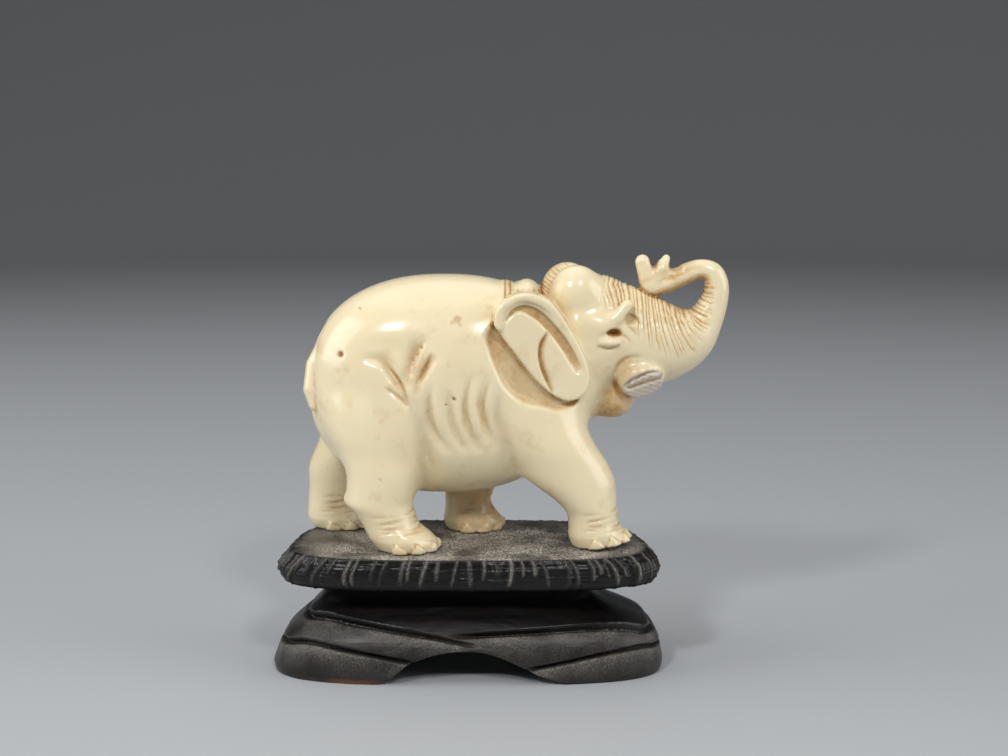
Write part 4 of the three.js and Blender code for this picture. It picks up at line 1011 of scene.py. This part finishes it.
def mesh_piece(name, points, faces, attributes):
    """A smooth mesh object from points in millimetres, set into the frame, with values at its points."""
    mesh = bpy.data.meshes.new(name)
    placed = (points - np.array([MIDDLE_X, 0, 0])) * MM
    mesh.from_pydata(placed.tolist(), [], faces)
    mesh.polygons.foreach_set("use_smooth", np.ones(len(mesh.polygons), bool))
    for key, values in attributes.items():
        mesh.attributes.new(key, "FLOAT", "POINT").data.foreach_set("value", np.asarray(values, np.float32))
    mesh.update()
    piece = bpy.data.objects.new(name, mesh)
    bpy.context.scene.collection.objects.link(piece)
    return piece


def plan_points(angle):
    """Points of the unit plan, a squared-off oval: directions over the power sum of their cosine and sine."""
    c, s = np.cos(angle), np.sin(angle)
    size = (np.abs(c) ** PLAN_POWER + np.abs(s) ** PLAN_POWER) ** (-1 / PLAN_POWER)
    return np.stack([c * size, s * size], axis=1)


def plan_directions():
    """Points of the unit plan evenly spaced along the rim, with their place along it and its length."""
    angle = np.linspace(0, 2 * np.pi, PLAN_SAMPLES)
    steps = np.linalg.norm(np.diff(plan_points(angle) * PLATE_LEVELS[1][2:], axis=0), axis=1)
    travel = np.concatenate([[0], np.cumsum(steps)])
    along = np.linspace(0, travel[-1], STAND_COLUMNS, endpoint=False)
    across, deep = plan_points(np.interp(along, travel, angle)).T
    return across, deep, along, travel[-1]


def plan_at(levels, lean, heights, across, deep):
    """The plan's points at heights: its directions times the reaches there, along the leaning ends."""
    left, right, depth = read_rows(levels, heights)
    y = deep * depth
    reach = np.where(across < 0, left, right)
    inset = np.where(across < 0, lean[0], lean[1]) * (y - LEAN_FROM)
    return np.stack([across * reach * (1 - inset), y, heights + 0 * across], axis=-1)


def arch_height(x):
    """Height of the block's underside: the arch between its two feet, and the floor under them."""
    line = curve_through(ARCH, ARCH_SAMPLES)
    return np.maximum(np.interp(x, line[:, 0], line[:, 1]), 0)


def surface_normals(points):
    """Outward unit normals of a grid of points that closes on itself along its columns."""
    along = np.roll(points, -1, axis=1) - np.roll(points, 1, axis=1)
    up = np.gradient(points, axis=0)
    normal = np.cross(along, up)
    return normal / (np.linalg.norm(normal, axis=-1, keepdims=True) + TINY)


def stand_surface():
    """The stand as rows of points from under its foot to its top edge.

    Each row is the plan at one height. Under the foot the rows shrink to the centre and follow the arch.
    The wall climbs from the arch to the waist, turns out under the plate and runs up its rim.
    """
    across, deep, along, length = plan_directions()
    waist = BLOCK_LEVELS[-1][0]
    foot = np.zeros(STAND_COLUMNS)
    # The foot's height depends on its X, which depends on its height: a few rounds settle both
    for _ in range(8):
        foot = arch_height(plan_at(BLOCK_LEVELS, BLOCK_LEAN, foot, across, deep)[:, 0])
    share = np.concatenate([np.linspace(0, CARVED_SHARE, CARVED_ROWS),
                            np.linspace(CARVED_SHARE, 1, BLOCK_ROWS - CARVED_ROWS + 1)[1:]])[:, None]
    block = plan_at(BLOCK_LEVELS, BLOCK_LEAN, foot + share * (waist - foot), across, deep)
    rim_heights = np.linspace(PLATE_LEVELS[0][0], PLATE_TOP, RIM_ROWS)[:, None] + 0 * across
    rim = plan_at(PLATE_LEVELS, PLATE_LEAN, rim_heights, across, deep)
    under = block[:1] * np.linspace(FOOT_MIDDLE, 1, FOOT_ROWS, endpoint=False)[:, None, None]
    under[..., 2] = arch_height(under[..., 0])
    ledge = block[-1:] + (rim[:1] - block[-1:]) * np.linspace(0, 1, LEDGE_ROWS + 2)[1:-1, None, None]
    return under, block, ledge, rim, along, length


def rim_scoops(along, length, heights, rng):
    """Upright scoops round the rim between thin, uneven, leaning ridges: their depth, and the ridges' dust.

    A scoop is as deep as the nearest ridge's bell leaves it, times the depth at its height.
    """
    ridges = round(length / RIM_PITCH)
    drawn = {name: rng.uniform(*limits, ridges) for name, limits in RIDGE_RANGE.items()}
    places = (np.arange(ridges) + drawn["shift"]) * length / ridges
    short = rng.uniform(0, 1, ridges) < SHORT_RIDGES["share"]
    feet = np.where(short, rng.uniform(*SHORT_RIDGES["feet"], ridges), PLATE_LEVELS[0][0])
    level = heights - np.mean([PLATE_LEVELS[0][0], PLATE_TOP])
    shifted = along[None, :, None] - drawn["lean"] * level[:, None, None] - places
    gap = np.abs((shifted + length / 2) % length - length / 2)
    nearest = gap.argmin(axis=-1)
    ridge = np.exp(-((gap.min(axis=-1) / drawn["width"][nearest]) ** 2))
    ridge *= smoothstep(*SHORT_RIDGES["run_out"], heights[:, None] - feet[nearest])
    depth = np.interp(heights, [row[0] for row in PLATE_LEVELS], NOTCH_DEPTHS)[:, None]
    return (1 - ridge) * depth * drawn["depth"][nearest], ridge * drawn["dust"][nearest]


def tool_marks(rows, marks, rng):
    """Smooth random hills on a grid that closes on itself along its columns: a lattice read with easing."""
    coarse_columns, coarse_rows, height = marks
    lattice = rng.uniform(-1, 1, (coarse_rows + 1, coarse_columns))
    c = np.arange(STAND_COLUMNS) / STAND_COLUMNS * coarse_columns
    r = np.linspace(0, coarse_rows - TINY, rows)
    i, j = r.astype(int), c.astype(int)
    s, t = smoothstep(0, 1, r - i)[:, None], smoothstep(0, 1, c - j)[None, :]
    k = (j + 1) % coarse_columns
    low = lattice[np.ix_(i, j)] * (1 - t) + lattice[np.ix_(i, k)] * t
    high = lattice[np.ix_(i + 1, j)] * (1 - t) + lattice[np.ix_(i + 1, k)] * t
    return height * (low * (1 - s) + high * s)


def grid_faces(rows, columns):
    """Quads of a grid of points, row by row, whose columns close on themselves."""
    row, column = np.meshgrid(np.arange(rows - 1), np.arange(columns), indexing="ij")
    after = (column + 1) % columns
    here, above = row * columns, (row + 1) * columns
    corners = [here + column, here + after, above + after, above + column]
    return np.stack(corners, axis=-1).reshape(-1, 4)


def fan(middle, ring):
    """Triangles from a middle point to each pair of neighbours on a closed ring, in the ring's order."""
    return np.stack([np.full(len(ring), middle), ring, np.roll(ring, -1)], axis=1)


def block_laps(block):
    """The block's long grooves: how deep they are cut at each point, and how much dust lies below them."""
    cut, dust = np.zeros(block.shape[:2]), np.zeros(block.shape[:2])
    for groove in BLOCK_GROOVES:
        line = curve_through(groove, 8 * len(groove))
        gap, share, side = near_line(block[..., 0], block[..., 2], line, LAP["reach"])
        ends = np.clip(LAP_END["least"] + LAP_END["rise"] * np.minimum(share, 1 - share), 0, 1)
        notch = np.clip(1 - gap / np.where(side > 0, LAP["above"], LAP["below"]), 0, 1)
        lap = np.where(side < 0, np.exp(-gap / LAP["fade"]), 0)
        cut = np.maximum(cut, ends * (LAP["cut"] * notch + LAP["sink"] * lap))
        dust = np.maximum(dust, ends * lap * smoothstep(*LAP["dust"], gap))
        dust = dust * (1 - ends * notch)
    return cut, dust


def stand_dust(under, block, ledge, rim, top, below, facing, ridges):
    """How much dust lies at each point, row by row from under the foot to the top."""
    bands = 1 - smoothstep(*BLOCK_DUST["bands_end"], block[..., 2])
    ends = smoothstep(*TOP_DUST["ends"], np.abs(top[..., 0] - TOP_DUST["middle"]))
    back = smoothstep(*TOP_DUST["back"], top[..., 1])
    rows = [
        np.zeros(under.shape[:2]),
        (BLOCK_DUST["laps"] * below + BLOCK_DUST["bands"] * bands) * facing,
        np.zeros(ledge.shape[:2]),
        RIM_DUST["ridges"] * ridges**2 * smoothstep(*RIM_DUST["over"], rim[..., 2]),
        (1 - TOP_DUST["ends_less"] * ends) * (1 - TOP_DUST["back_less"] * back),
    ]
    return np.concatenate(rows).reshape(-1)


def stand_mesh():
    """The stand's points, faces, dust and wear, with its scoops, laps and tool marks cut in."""
    rng = np.random.default_rng(STAND_SEED)
    under, block, ledge, rim, along, length = stand_surface()
    block_normals, rim_normals = surface_normals(block), surface_normals(rim)
    cut, below = block_laps(block)
    facing = smoothstep(*LAP_FACING, np.abs(block_normals[..., 1]))
    block = block - block_normals * (cut * facing + tool_marks(BLOCK_ROWS, BLOCK_MARKS, rng))[..., None]
    block[..., 2] = np.maximum(block[..., 2], 0)
    scoops, ridges = rim_scoops(along, length, rim[:, 0, 2], rng)
    rim = rim - rim_normals * (scoops + tool_marks(RIM_ROWS, RIM_MARKS, rng))[..., None]
    inward = np.linspace(1, TOP_MIDDLE, TOP_ROWS + 1)[1:, None, None] ** TOP_CROWDING
    top = rim[-1:] * (1, 1, 0) * inward + (0, 0, PLATE_TOP)
    top[..., 2] -= TOP_SINK + tool_marks(TOP_ROWS, TOP_MARKS, rng)
    dust = stand_dust(under, block, ledge, rim, top, below, facing, ridges)
    rows = np.concatenate([under, block, ledge, rim, top])
    points = rows.reshape(-1, 3)
    x, y, z = points.T
    into, out_of = PAINTED_WAIST_SHADE
    waist_shade = smoothstep(*into, z) * (1 - smoothstep(*out_of, z))
    worn = np.exp(-(((x - WORN["middle"]) / WORN["reach"]) ** 2)) * (y < 0)
    worn = worn * (1 - smoothstep(*WORN["below"], z))
    middles = [(0, 0, arch_height(0.0)), (0, 0, PLATE_TOP - TOP_SINK)]
    ring = np.arange(STAND_COLUMNS)
    last_ring = len(points) - STAND_COLUMNS + ring
    fans = np.concatenate([fan(len(points), ring[::-1]), fan(len(points) + 1, last_ring)])
    faces = grid_faces(len(rows), STAND_COLUMNS).tolist() + fans.tolist()
    values = {
        "dust": np.append(dust, [0, MIDDLE_DUST]),
        "worn": np.append(worn, [0, 0]),
        "waist_shade": np.append(waist_shade, [0, 0]),
    }
    return np.vstack([points, middles]), faces, values


def set_inputs(tree, node, inputs):
    """Sets a node's inputs, by name or in order, each to a plain value or from another node's output."""
    for socket, value in inputs.items() if isinstance(inputs, dict) else enumerate(inputs):
        if isinstance(value, bpy.types.NodeSocket):
            tree.links.new(value, node.inputs[socket])
        else:
            node.inputs[socket].default_value = value


def add(tree, kind, inputs=(), output=0, **settings):
    """Adds one node with its settings and inputs, and returns one of its outputs."""
    node = tree.nodes.new(kind)
    for name, value in settings.items():
        setattr(node, name, value)
    set_inputs(tree, node, inputs)
    return node.outputs[output]


# Sockets of a colour mix
MIX_FACTOR, MIX_A, MIX_B, MIX_RESULT = 0, 6, 7, 2


def per_metre(size_mm):
    """The scale that gives a noise texture features of a size in millimetres."""
    return 1 / (size_mm * MM)


def new_material(name):
    """An empty material with its shader."""
    material = bpy.data.materials.new(name)
    material.use_nodes = True
    tree = material.node_tree
    return material, tree, tree.nodes["Principled BSDF"]


def polished_ivory_resin(colours):
    """Cast resin finished like old ivory: glossy cream, with brown stain rubbed into the carving.

    The eye sees a warm, slightly translucent cream that is yellower in places, and brown that stays
    where the polishing cloth did not reach, with painted shade in the same brown near other parts.
    """
    material, tree, shader = new_material("polished_ivory_resin")
    place = add(tree, "ShaderNodeTexCoord", output="Object")
    stain_and_shade, ridges, ridged, spacing, broken = [
        add(tree, "ShaderNodeAttribute", output="Fac", attribute_name=name)
        for name in ("stain_and_shade", "ridge_count", "ridged", "ridge_spacing", "broken")]
    # Clouds in the cream, smudges of grime, the grooves' wavering and specks: size in millimetres and detail
    clouds, smudges, waver, specks = [
        add(tree, "ShaderNodeTexNoise", {"Vector": place, "Scale": per_metre(size), "Detail": detail})
        for size, detail in ((14, 3), (5, 8), (2.2, 2), (1.1, 4))]
    # A groove lies where the wavering count of ridges passes a whole number, and is brown across its width
    wavy = add(tree, "ShaderNodeMath", (waver, 0.5, ridges), operation="MULTIPLY_ADD")
    half = add(tree, "ShaderNodeMath", (wavy, 0.5), operation="PINGPONG")
    off = add(tree, "ShaderNodeMath", (half, spacing), operation="MULTIPLY")
    groove = add(tree, "ShaderNodeMapRange", (off, 0.36, 0.06, 0, 1))
    cut = add(tree, "ShaderNodeMath", (groove, ridged), operation="MULTIPLY")
    # Brown is the stain with its painted shade, the grooves and the grime together, made uneven by the specks
    grime = add(tree, "ShaderNodeMapRange", (smudges, 0.5, 0.8, 0, 0.22))
    dirt_stain_and_shade = add(tree, "ShaderNodeMath", (grime, stain_and_shade), operation="ADD")
    rubbed_in_and_shade = add(tree, "ShaderNodeMath", (cut, 0.45, dirt_stain_and_shade), operation="MULTIPLY_ADD")
    uneven = add(tree, "ShaderNodeMapRange", (specks, 0.3, 0.7, 0.8, 1.2))
    brown = add(tree, "ShaderNodeMath", (rubbed_in_and_shade, uneven), operation="MULTIPLY", use_clamp=True)
    # Light brown tints the cream, strong brown goes on to the deep stain, and the break is bare of both
    tint = add(tree, "ShaderNodeMapRange", (brown, 0.05, 0.55, 0, 1))
    deep = add(tree, "ShaderNodeMapRange", (brown, 0.5, 1, 0, 0.85))
    bare = add(tree, "ShaderNodeMath", (broken, brown), operation="SUBTRACT", use_clamp=True)
    colour = (*colours.cream, 1)
    for cover, over in ((clouds, colours.yellowed), (tint, colours.stain_and_shade), (deep, colours.deep_stain),
                        (bare, colours.broken)):
        colour = add(tree, "ShaderNodeMix", {MIX_FACTOR: cover, MIX_A: colour, MIX_B: (*over, 1)},
                     output=MIX_RESULT, data_type="RGBA")
    # The polish is lost in the brown and on the break
    dull = add(tree, "ShaderNodeMath", (broken, 0.6, brown), operation="MULTIPLY_ADD")
    rough = add(tree, "ShaderNodeMapRange", (dull, 0, 1, 0.18, 0.6))
    relief = add(tree, "ShaderNodeMath", (cut, -0.8, specks), operation="MULTIPLY_ADD")
    bump = add(tree, "ShaderNodeBump", {"Height": relief, "Strength": 0.12, "Distance": 0.15 * MM})
    set_inputs(tree, shader, {
        "Base Color": colour, "Roughness": rough, "Normal": bump, "IOR": 1.53, "Subsurface Weight": 0.12,
        "Subsurface Radius": (1.0, 0.7, 0.4), "Subsurface Scale": 1.5 * MM})
    return material


def stained_dark_wood(colours):
    """Carved wood stained near black: grain lies along the stand, and grey dust sits on what faces up.

    The eye sees satin black with faint streaks, a red-brown edge where the stain is worn off, and a dry,
    speckled film of dust that takes the sheen away.
    """
    material, tree, shader = new_material("stained_dark_wood")
    place = add(tree, "ShaderNodeTexCoord", output="Object")
    dust, worn, waist_shade = [
        add(tree, "ShaderNodeAttribute", output="Fac", attribute_name=name)
        for name in ("dust", "worn", "waist_shade")]
    along_grain = add(tree, "ShaderNodeMapping", {"Vector": place, "Scale": (0.05, 1, 1)})
    # Grain, grit and patches: size in millimetres and detail
    # Real grit is too fine to show, so it is drawn coarser
    grain, grit, patches = [
        add(tree, "ShaderNodeTexNoise", {"Vector": vector, "Scale": per_metre(size), "Detail": detail})
        for vector, size, detail in ((along_grain, 1.1, 4), (place, 0.34, 2), (place, 9, 3))]
    streak = add(tree, "ShaderNodeMapRange", (grain, 0.35, 0.75, 0, 1))
    bare = add(tree, "ShaderNodeMapRange", (patches, 0.35, 0.6, 0.2, 1))
    rubbed = add(tree, "ShaderNodeMath", (worn, bare), operation="MULTIPLY")
    # Dust is specks over an even film, which is thinner where there is much dust, and comes in patches
    film = add(tree, "ShaderNodeMapRange", (dust, 0.1, 0.7, 0.5, 0.14))
    specks = add(tree, "ShaderNodeMapRange", (grit, 0.48, 0.57, film, 1))
    thick = add(tree, "ShaderNodeMapRange", (patches, 0.36, 0.64, 0.3, 1.2))
    patchy = add(tree, "ShaderNodeMath", (specks, thick), operation="MULTIPLY")
    dusty = add(tree, "ShaderNodeMath", (patchy, dust), operation="MULTIPLY", use_clamp=True)
    colour = (*colours.wood, 1)
    for cover, over in ((streak, colours.wood_streak), (rubbed, colours.worn_wood), (dusty, colours.dust)):
        colour = add(tree, "ShaderNodeMix", {MIX_FACTOR: cover, MIX_A: colour, MIX_B: (*over, 1)},
                     output=MIX_RESULT, data_type="RGBA")
    rough = add(tree, "ShaderNodeMapRange", (dusty, 0, 0.5, 0.33, 0.95))
    relief = add(tree, "ShaderNodeMath", (dusty, 0.6, grain), operation="MULTIPLY_ADD")
    bump = add(tree, "ShaderNodeBump", {"Height": relief, "Strength": 0.35, "Distance": 0.2 * MM})
    # Painted shade: the waist mirrors next to nothing
    sheen = add(tree, "ShaderNodeMapRange", (waist_shade, 0, 1, 0.4, 0.03))
    set_inputs(tree, shader, {"Base Color": colour, "Roughness": rough, "Normal": bump, "IOR": 1.45,
                              "Specular IOR Level": sheen})
    return material


class ColourSettings(bpy.types.PropertyGroup):
    """Colours of the finishes"""
    cream: FloatVectorProperty(
        name="Cream", description="Polished ivory colour",
        subtype="COLOR", default=linear("#efe2bf"))
    yellowed: FloatVectorProperty(
        name="Yellowed", description="Yellower ivory in patches",
        subtype="COLOR", default=linear("#e8d6ae"))
    # Its tan also colours the painted shade
    stain_and_shade: FloatVectorProperty(
        name="Stain", description="Tan rubbed into the carving",
        subtype="COLOR", default=linear("#c0985f"))
    deep_stain: FloatVectorProperty(
        name="Deep stain", description="Brown in the deepest cuts",
        subtype="COLOR", default=linear("#744627"))
    broken: FloatVectorProperty(
        name="Broken face", description="Chalky face of the tusk's break",
        subtype="COLOR", default=linear("#d6cbbb"))
    wood: FloatVectorProperty(
        name="Wood", description="Near-black wood stain",
        subtype="COLOR", default=linear("#0b0a09"))
    wood_streak: FloatVectorProperty(
        name="Wood streaks", description="Lighter streaks of grain",
        subtype="COLOR", default=linear("#171413"))
    worn_wood: FloatVectorProperty(
        name="Worn wood", description="Bare red-brown wood at the foot",
        subtype="COLOR", default=linear("#6e4029"))
    dust: FloatVectorProperty(
        name="Dust", description="Grey dust on the wood",
        subtype="COLOR", default=linear("#cbc2b6"))
    floor: FloatVectorProperty(
        name="Floor", description="Plain pale floor",
        subtype="COLOR", default=linear("#b2b5b8"))


def floor_mesh():
    """A round floor whose profile runs flat from the middle and curves up as a quarter circle."""
    turn = np.linspace(0, np.pi / 2, FLOOR_STEPS)
    radius = np.concatenate([[FLOOR_RADIUS / 4], FLOOR_RADIUS + FLOOR_RISE * np.sin(turn)])
    height = np.concatenate([[0], FLOOR_RISE * (1 - np.cos(turn))])
    angle = np.arange(FLOOR_SIDES) * 2 * np.pi / FLOOR_SIDES
    ring = np.stack([np.cos(angle), np.sin(angle)], axis=1)
    points = np.concatenate([radius[:, None, None] * ring, height[:, None, None] + 0 * ring[..., :1]], axis=2)
    mesh = bpy.data.meshes.new("floor")
    middle = [tuple(range(FLOOR_SIDES))]
    quads = grid_faces(len(radius), FLOOR_SIDES)[:, ::-1]
    mesh.from_pydata(points.reshape(-1, 3).tolist(), [], middle + quads.tolist())
    mesh.polygons.foreach_set("use_smooth", np.ones(len(mesh.polygons), bool))
    return mesh


class ELEPHANT_OT_elephant(bpy.types.Operator):
    """Carve the elephant"""
    bl_idname = "elephant.elephant"
    bl_label = "Elephant"

    def execute(self, context):
        values = fill_narrow_gaps(field_on_grid(elephant_field, ELEPHANT_GRID))
        points, faces = skin(values, ELEPHANT_GRID)
        points = onto_surface(elephant_field, points)
        slope = slope_at(elephant_field, points, NORMAL_STEP)
        normals = slope / (np.linalg.norm(slope, axis=1)[:, None] + TINY)
        placed = points + np.array([0, MIDPLANE, 0])
        piece = mesh_piece("elephant_carving", placed, faces.tolist(), elephant_stain_and_shade(points, normals))
        piece.data.materials.append(polished_ivory_resin(context.scene.figure_colours))
        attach(piece, "root")
        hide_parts("elephant")
        return {"FINISHED"}


class ELEPHANT_OT_stand(bpy.types.Operator):
    """Carve the wooden stand"""
    bl_idname = "elephant.stand"
    bl_label = "Stand"

    def execute(self, context):
        piece = mesh_piece("stand_carving", *stand_mesh())
        piece.data.materials.append(stained_dark_wood(context.scene.figure_colours))
        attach(piece, "root")
        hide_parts("stand")
        return {"FINISHED"}


class ELEPHANT_OT_studio(bpy.types.Operator):
    """Set up the pale floor, the soft lights and the camera"""
    bl_idname = "elephant.studio"
    bl_label = "Studio"

    def execute(self, context):
        scene = context.scene
        floor = bpy.data.objects.new("floor", floor_mesh())
        scene.collection.objects.link(floor)
        material, tree, shader = new_material("pale_floor")
        colour = (*scene.figure_colours.floor, 1)
        set_inputs(tree, shader, {"Base Color": colour, "Roughness": FLOOR_ROUGHNESS})
        floor.data.materials.append(material)
        world = bpy.data.worlds.new("studio")
        world.use_nodes = True
        set_inputs(world.node_tree, world.node_tree.nodes["Background"],
                   {"Color": (*linear(WORLD_COLOUR), 1), "Strength": WORLD_STRENGTH})
        scene.world = world
        scene.view_settings.view_transform = "Standard"
        for name, place, size, energy in LIGHTS:
            light = bpy.data.lights.new(name, "AREA")
            light.size = size
            light.energy = energy
            lamp = bpy.data.objects.new(name, light)
            lamp.location = place
            back = np.subtract(place, LIGHTS_AIM)
            tilt = math.atan2(math.hypot(back[0], back[1]), back[2])
            lamp.rotation_euler = (tilt, 0, math.atan2(back[0], -back[1]))
            scene.collection.objects.link(lamp)
        lens = bpy.data.cameras.new("camera")
        lens.sensor_width = CAMERA["sensor"]
        lens.lens = CAMERA["lens"]
        lens.clip_start = CAMERA["clip"] * MM
        camera = bpy.data.objects.new("camera", lens)
        camera.location = np.subtract(CAMERA["place"], (MIDDLE_X, 0, 0)) * MM
        camera.rotation_euler = (math.radians(90 - CAMERA["down"]), 0, 0)
        scene.collection.objects.link(camera)
        scene.camera = camera
        return {"FINISHED"}


class ELEPHANT_PT_panel(bpy.types.Panel):
    """Lists the figure's pieces, sizes and colours"""
    bl_idname = "ELEPHANT_PT_panel"
    bl_label = "Elephant"
    bl_space_type = "VIEW_3D"
    bl_region_type = "UI"
    bl_category = "Elephant"

    def draw(self, context):
        for operator in PIECES:
            self.layout.operator(operator.bl_idname)
        for group in (context.scene.figure, context.scene.figure_colours):
            for name in group.bl_rna.properties.keys():
                if name not in ("rna_type", "name"):
                    self.layout.prop(group, name)


PIECES = (ELEPHANT_OT_elephant, ELEPHANT_OT_stand, ELEPHANT_OT_studio)
CLASSES = (FigureSettings, ColourSettings, *PIECES, ELEPHANT_PT_panel)


def register():
    """Registers the classes and gives the scene its sizes and colours."""
    for kind in CLASSES:
        bpy.utils.register_class(kind)
    bpy.types.Scene.figure = PointerProperty(type=FigureSettings)
    bpy.types.Scene.figure_colours = PointerProperty(type=ColourSettings)


def unregister():
    """Takes back what register set up."""
    del bpy.types.Scene.figure_colours
    del bpy.types.Scene.figure
    for kind in reversed(CLASSES):
        bpy.utils.unregister_class(kind)


def main():
    """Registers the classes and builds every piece."""
    register()
    bpy.ops.elephant.elephant()
    bpy.ops.elephant.stand()
    bpy.ops.elephant.studio()


if __name__ == "__main__":
    main()
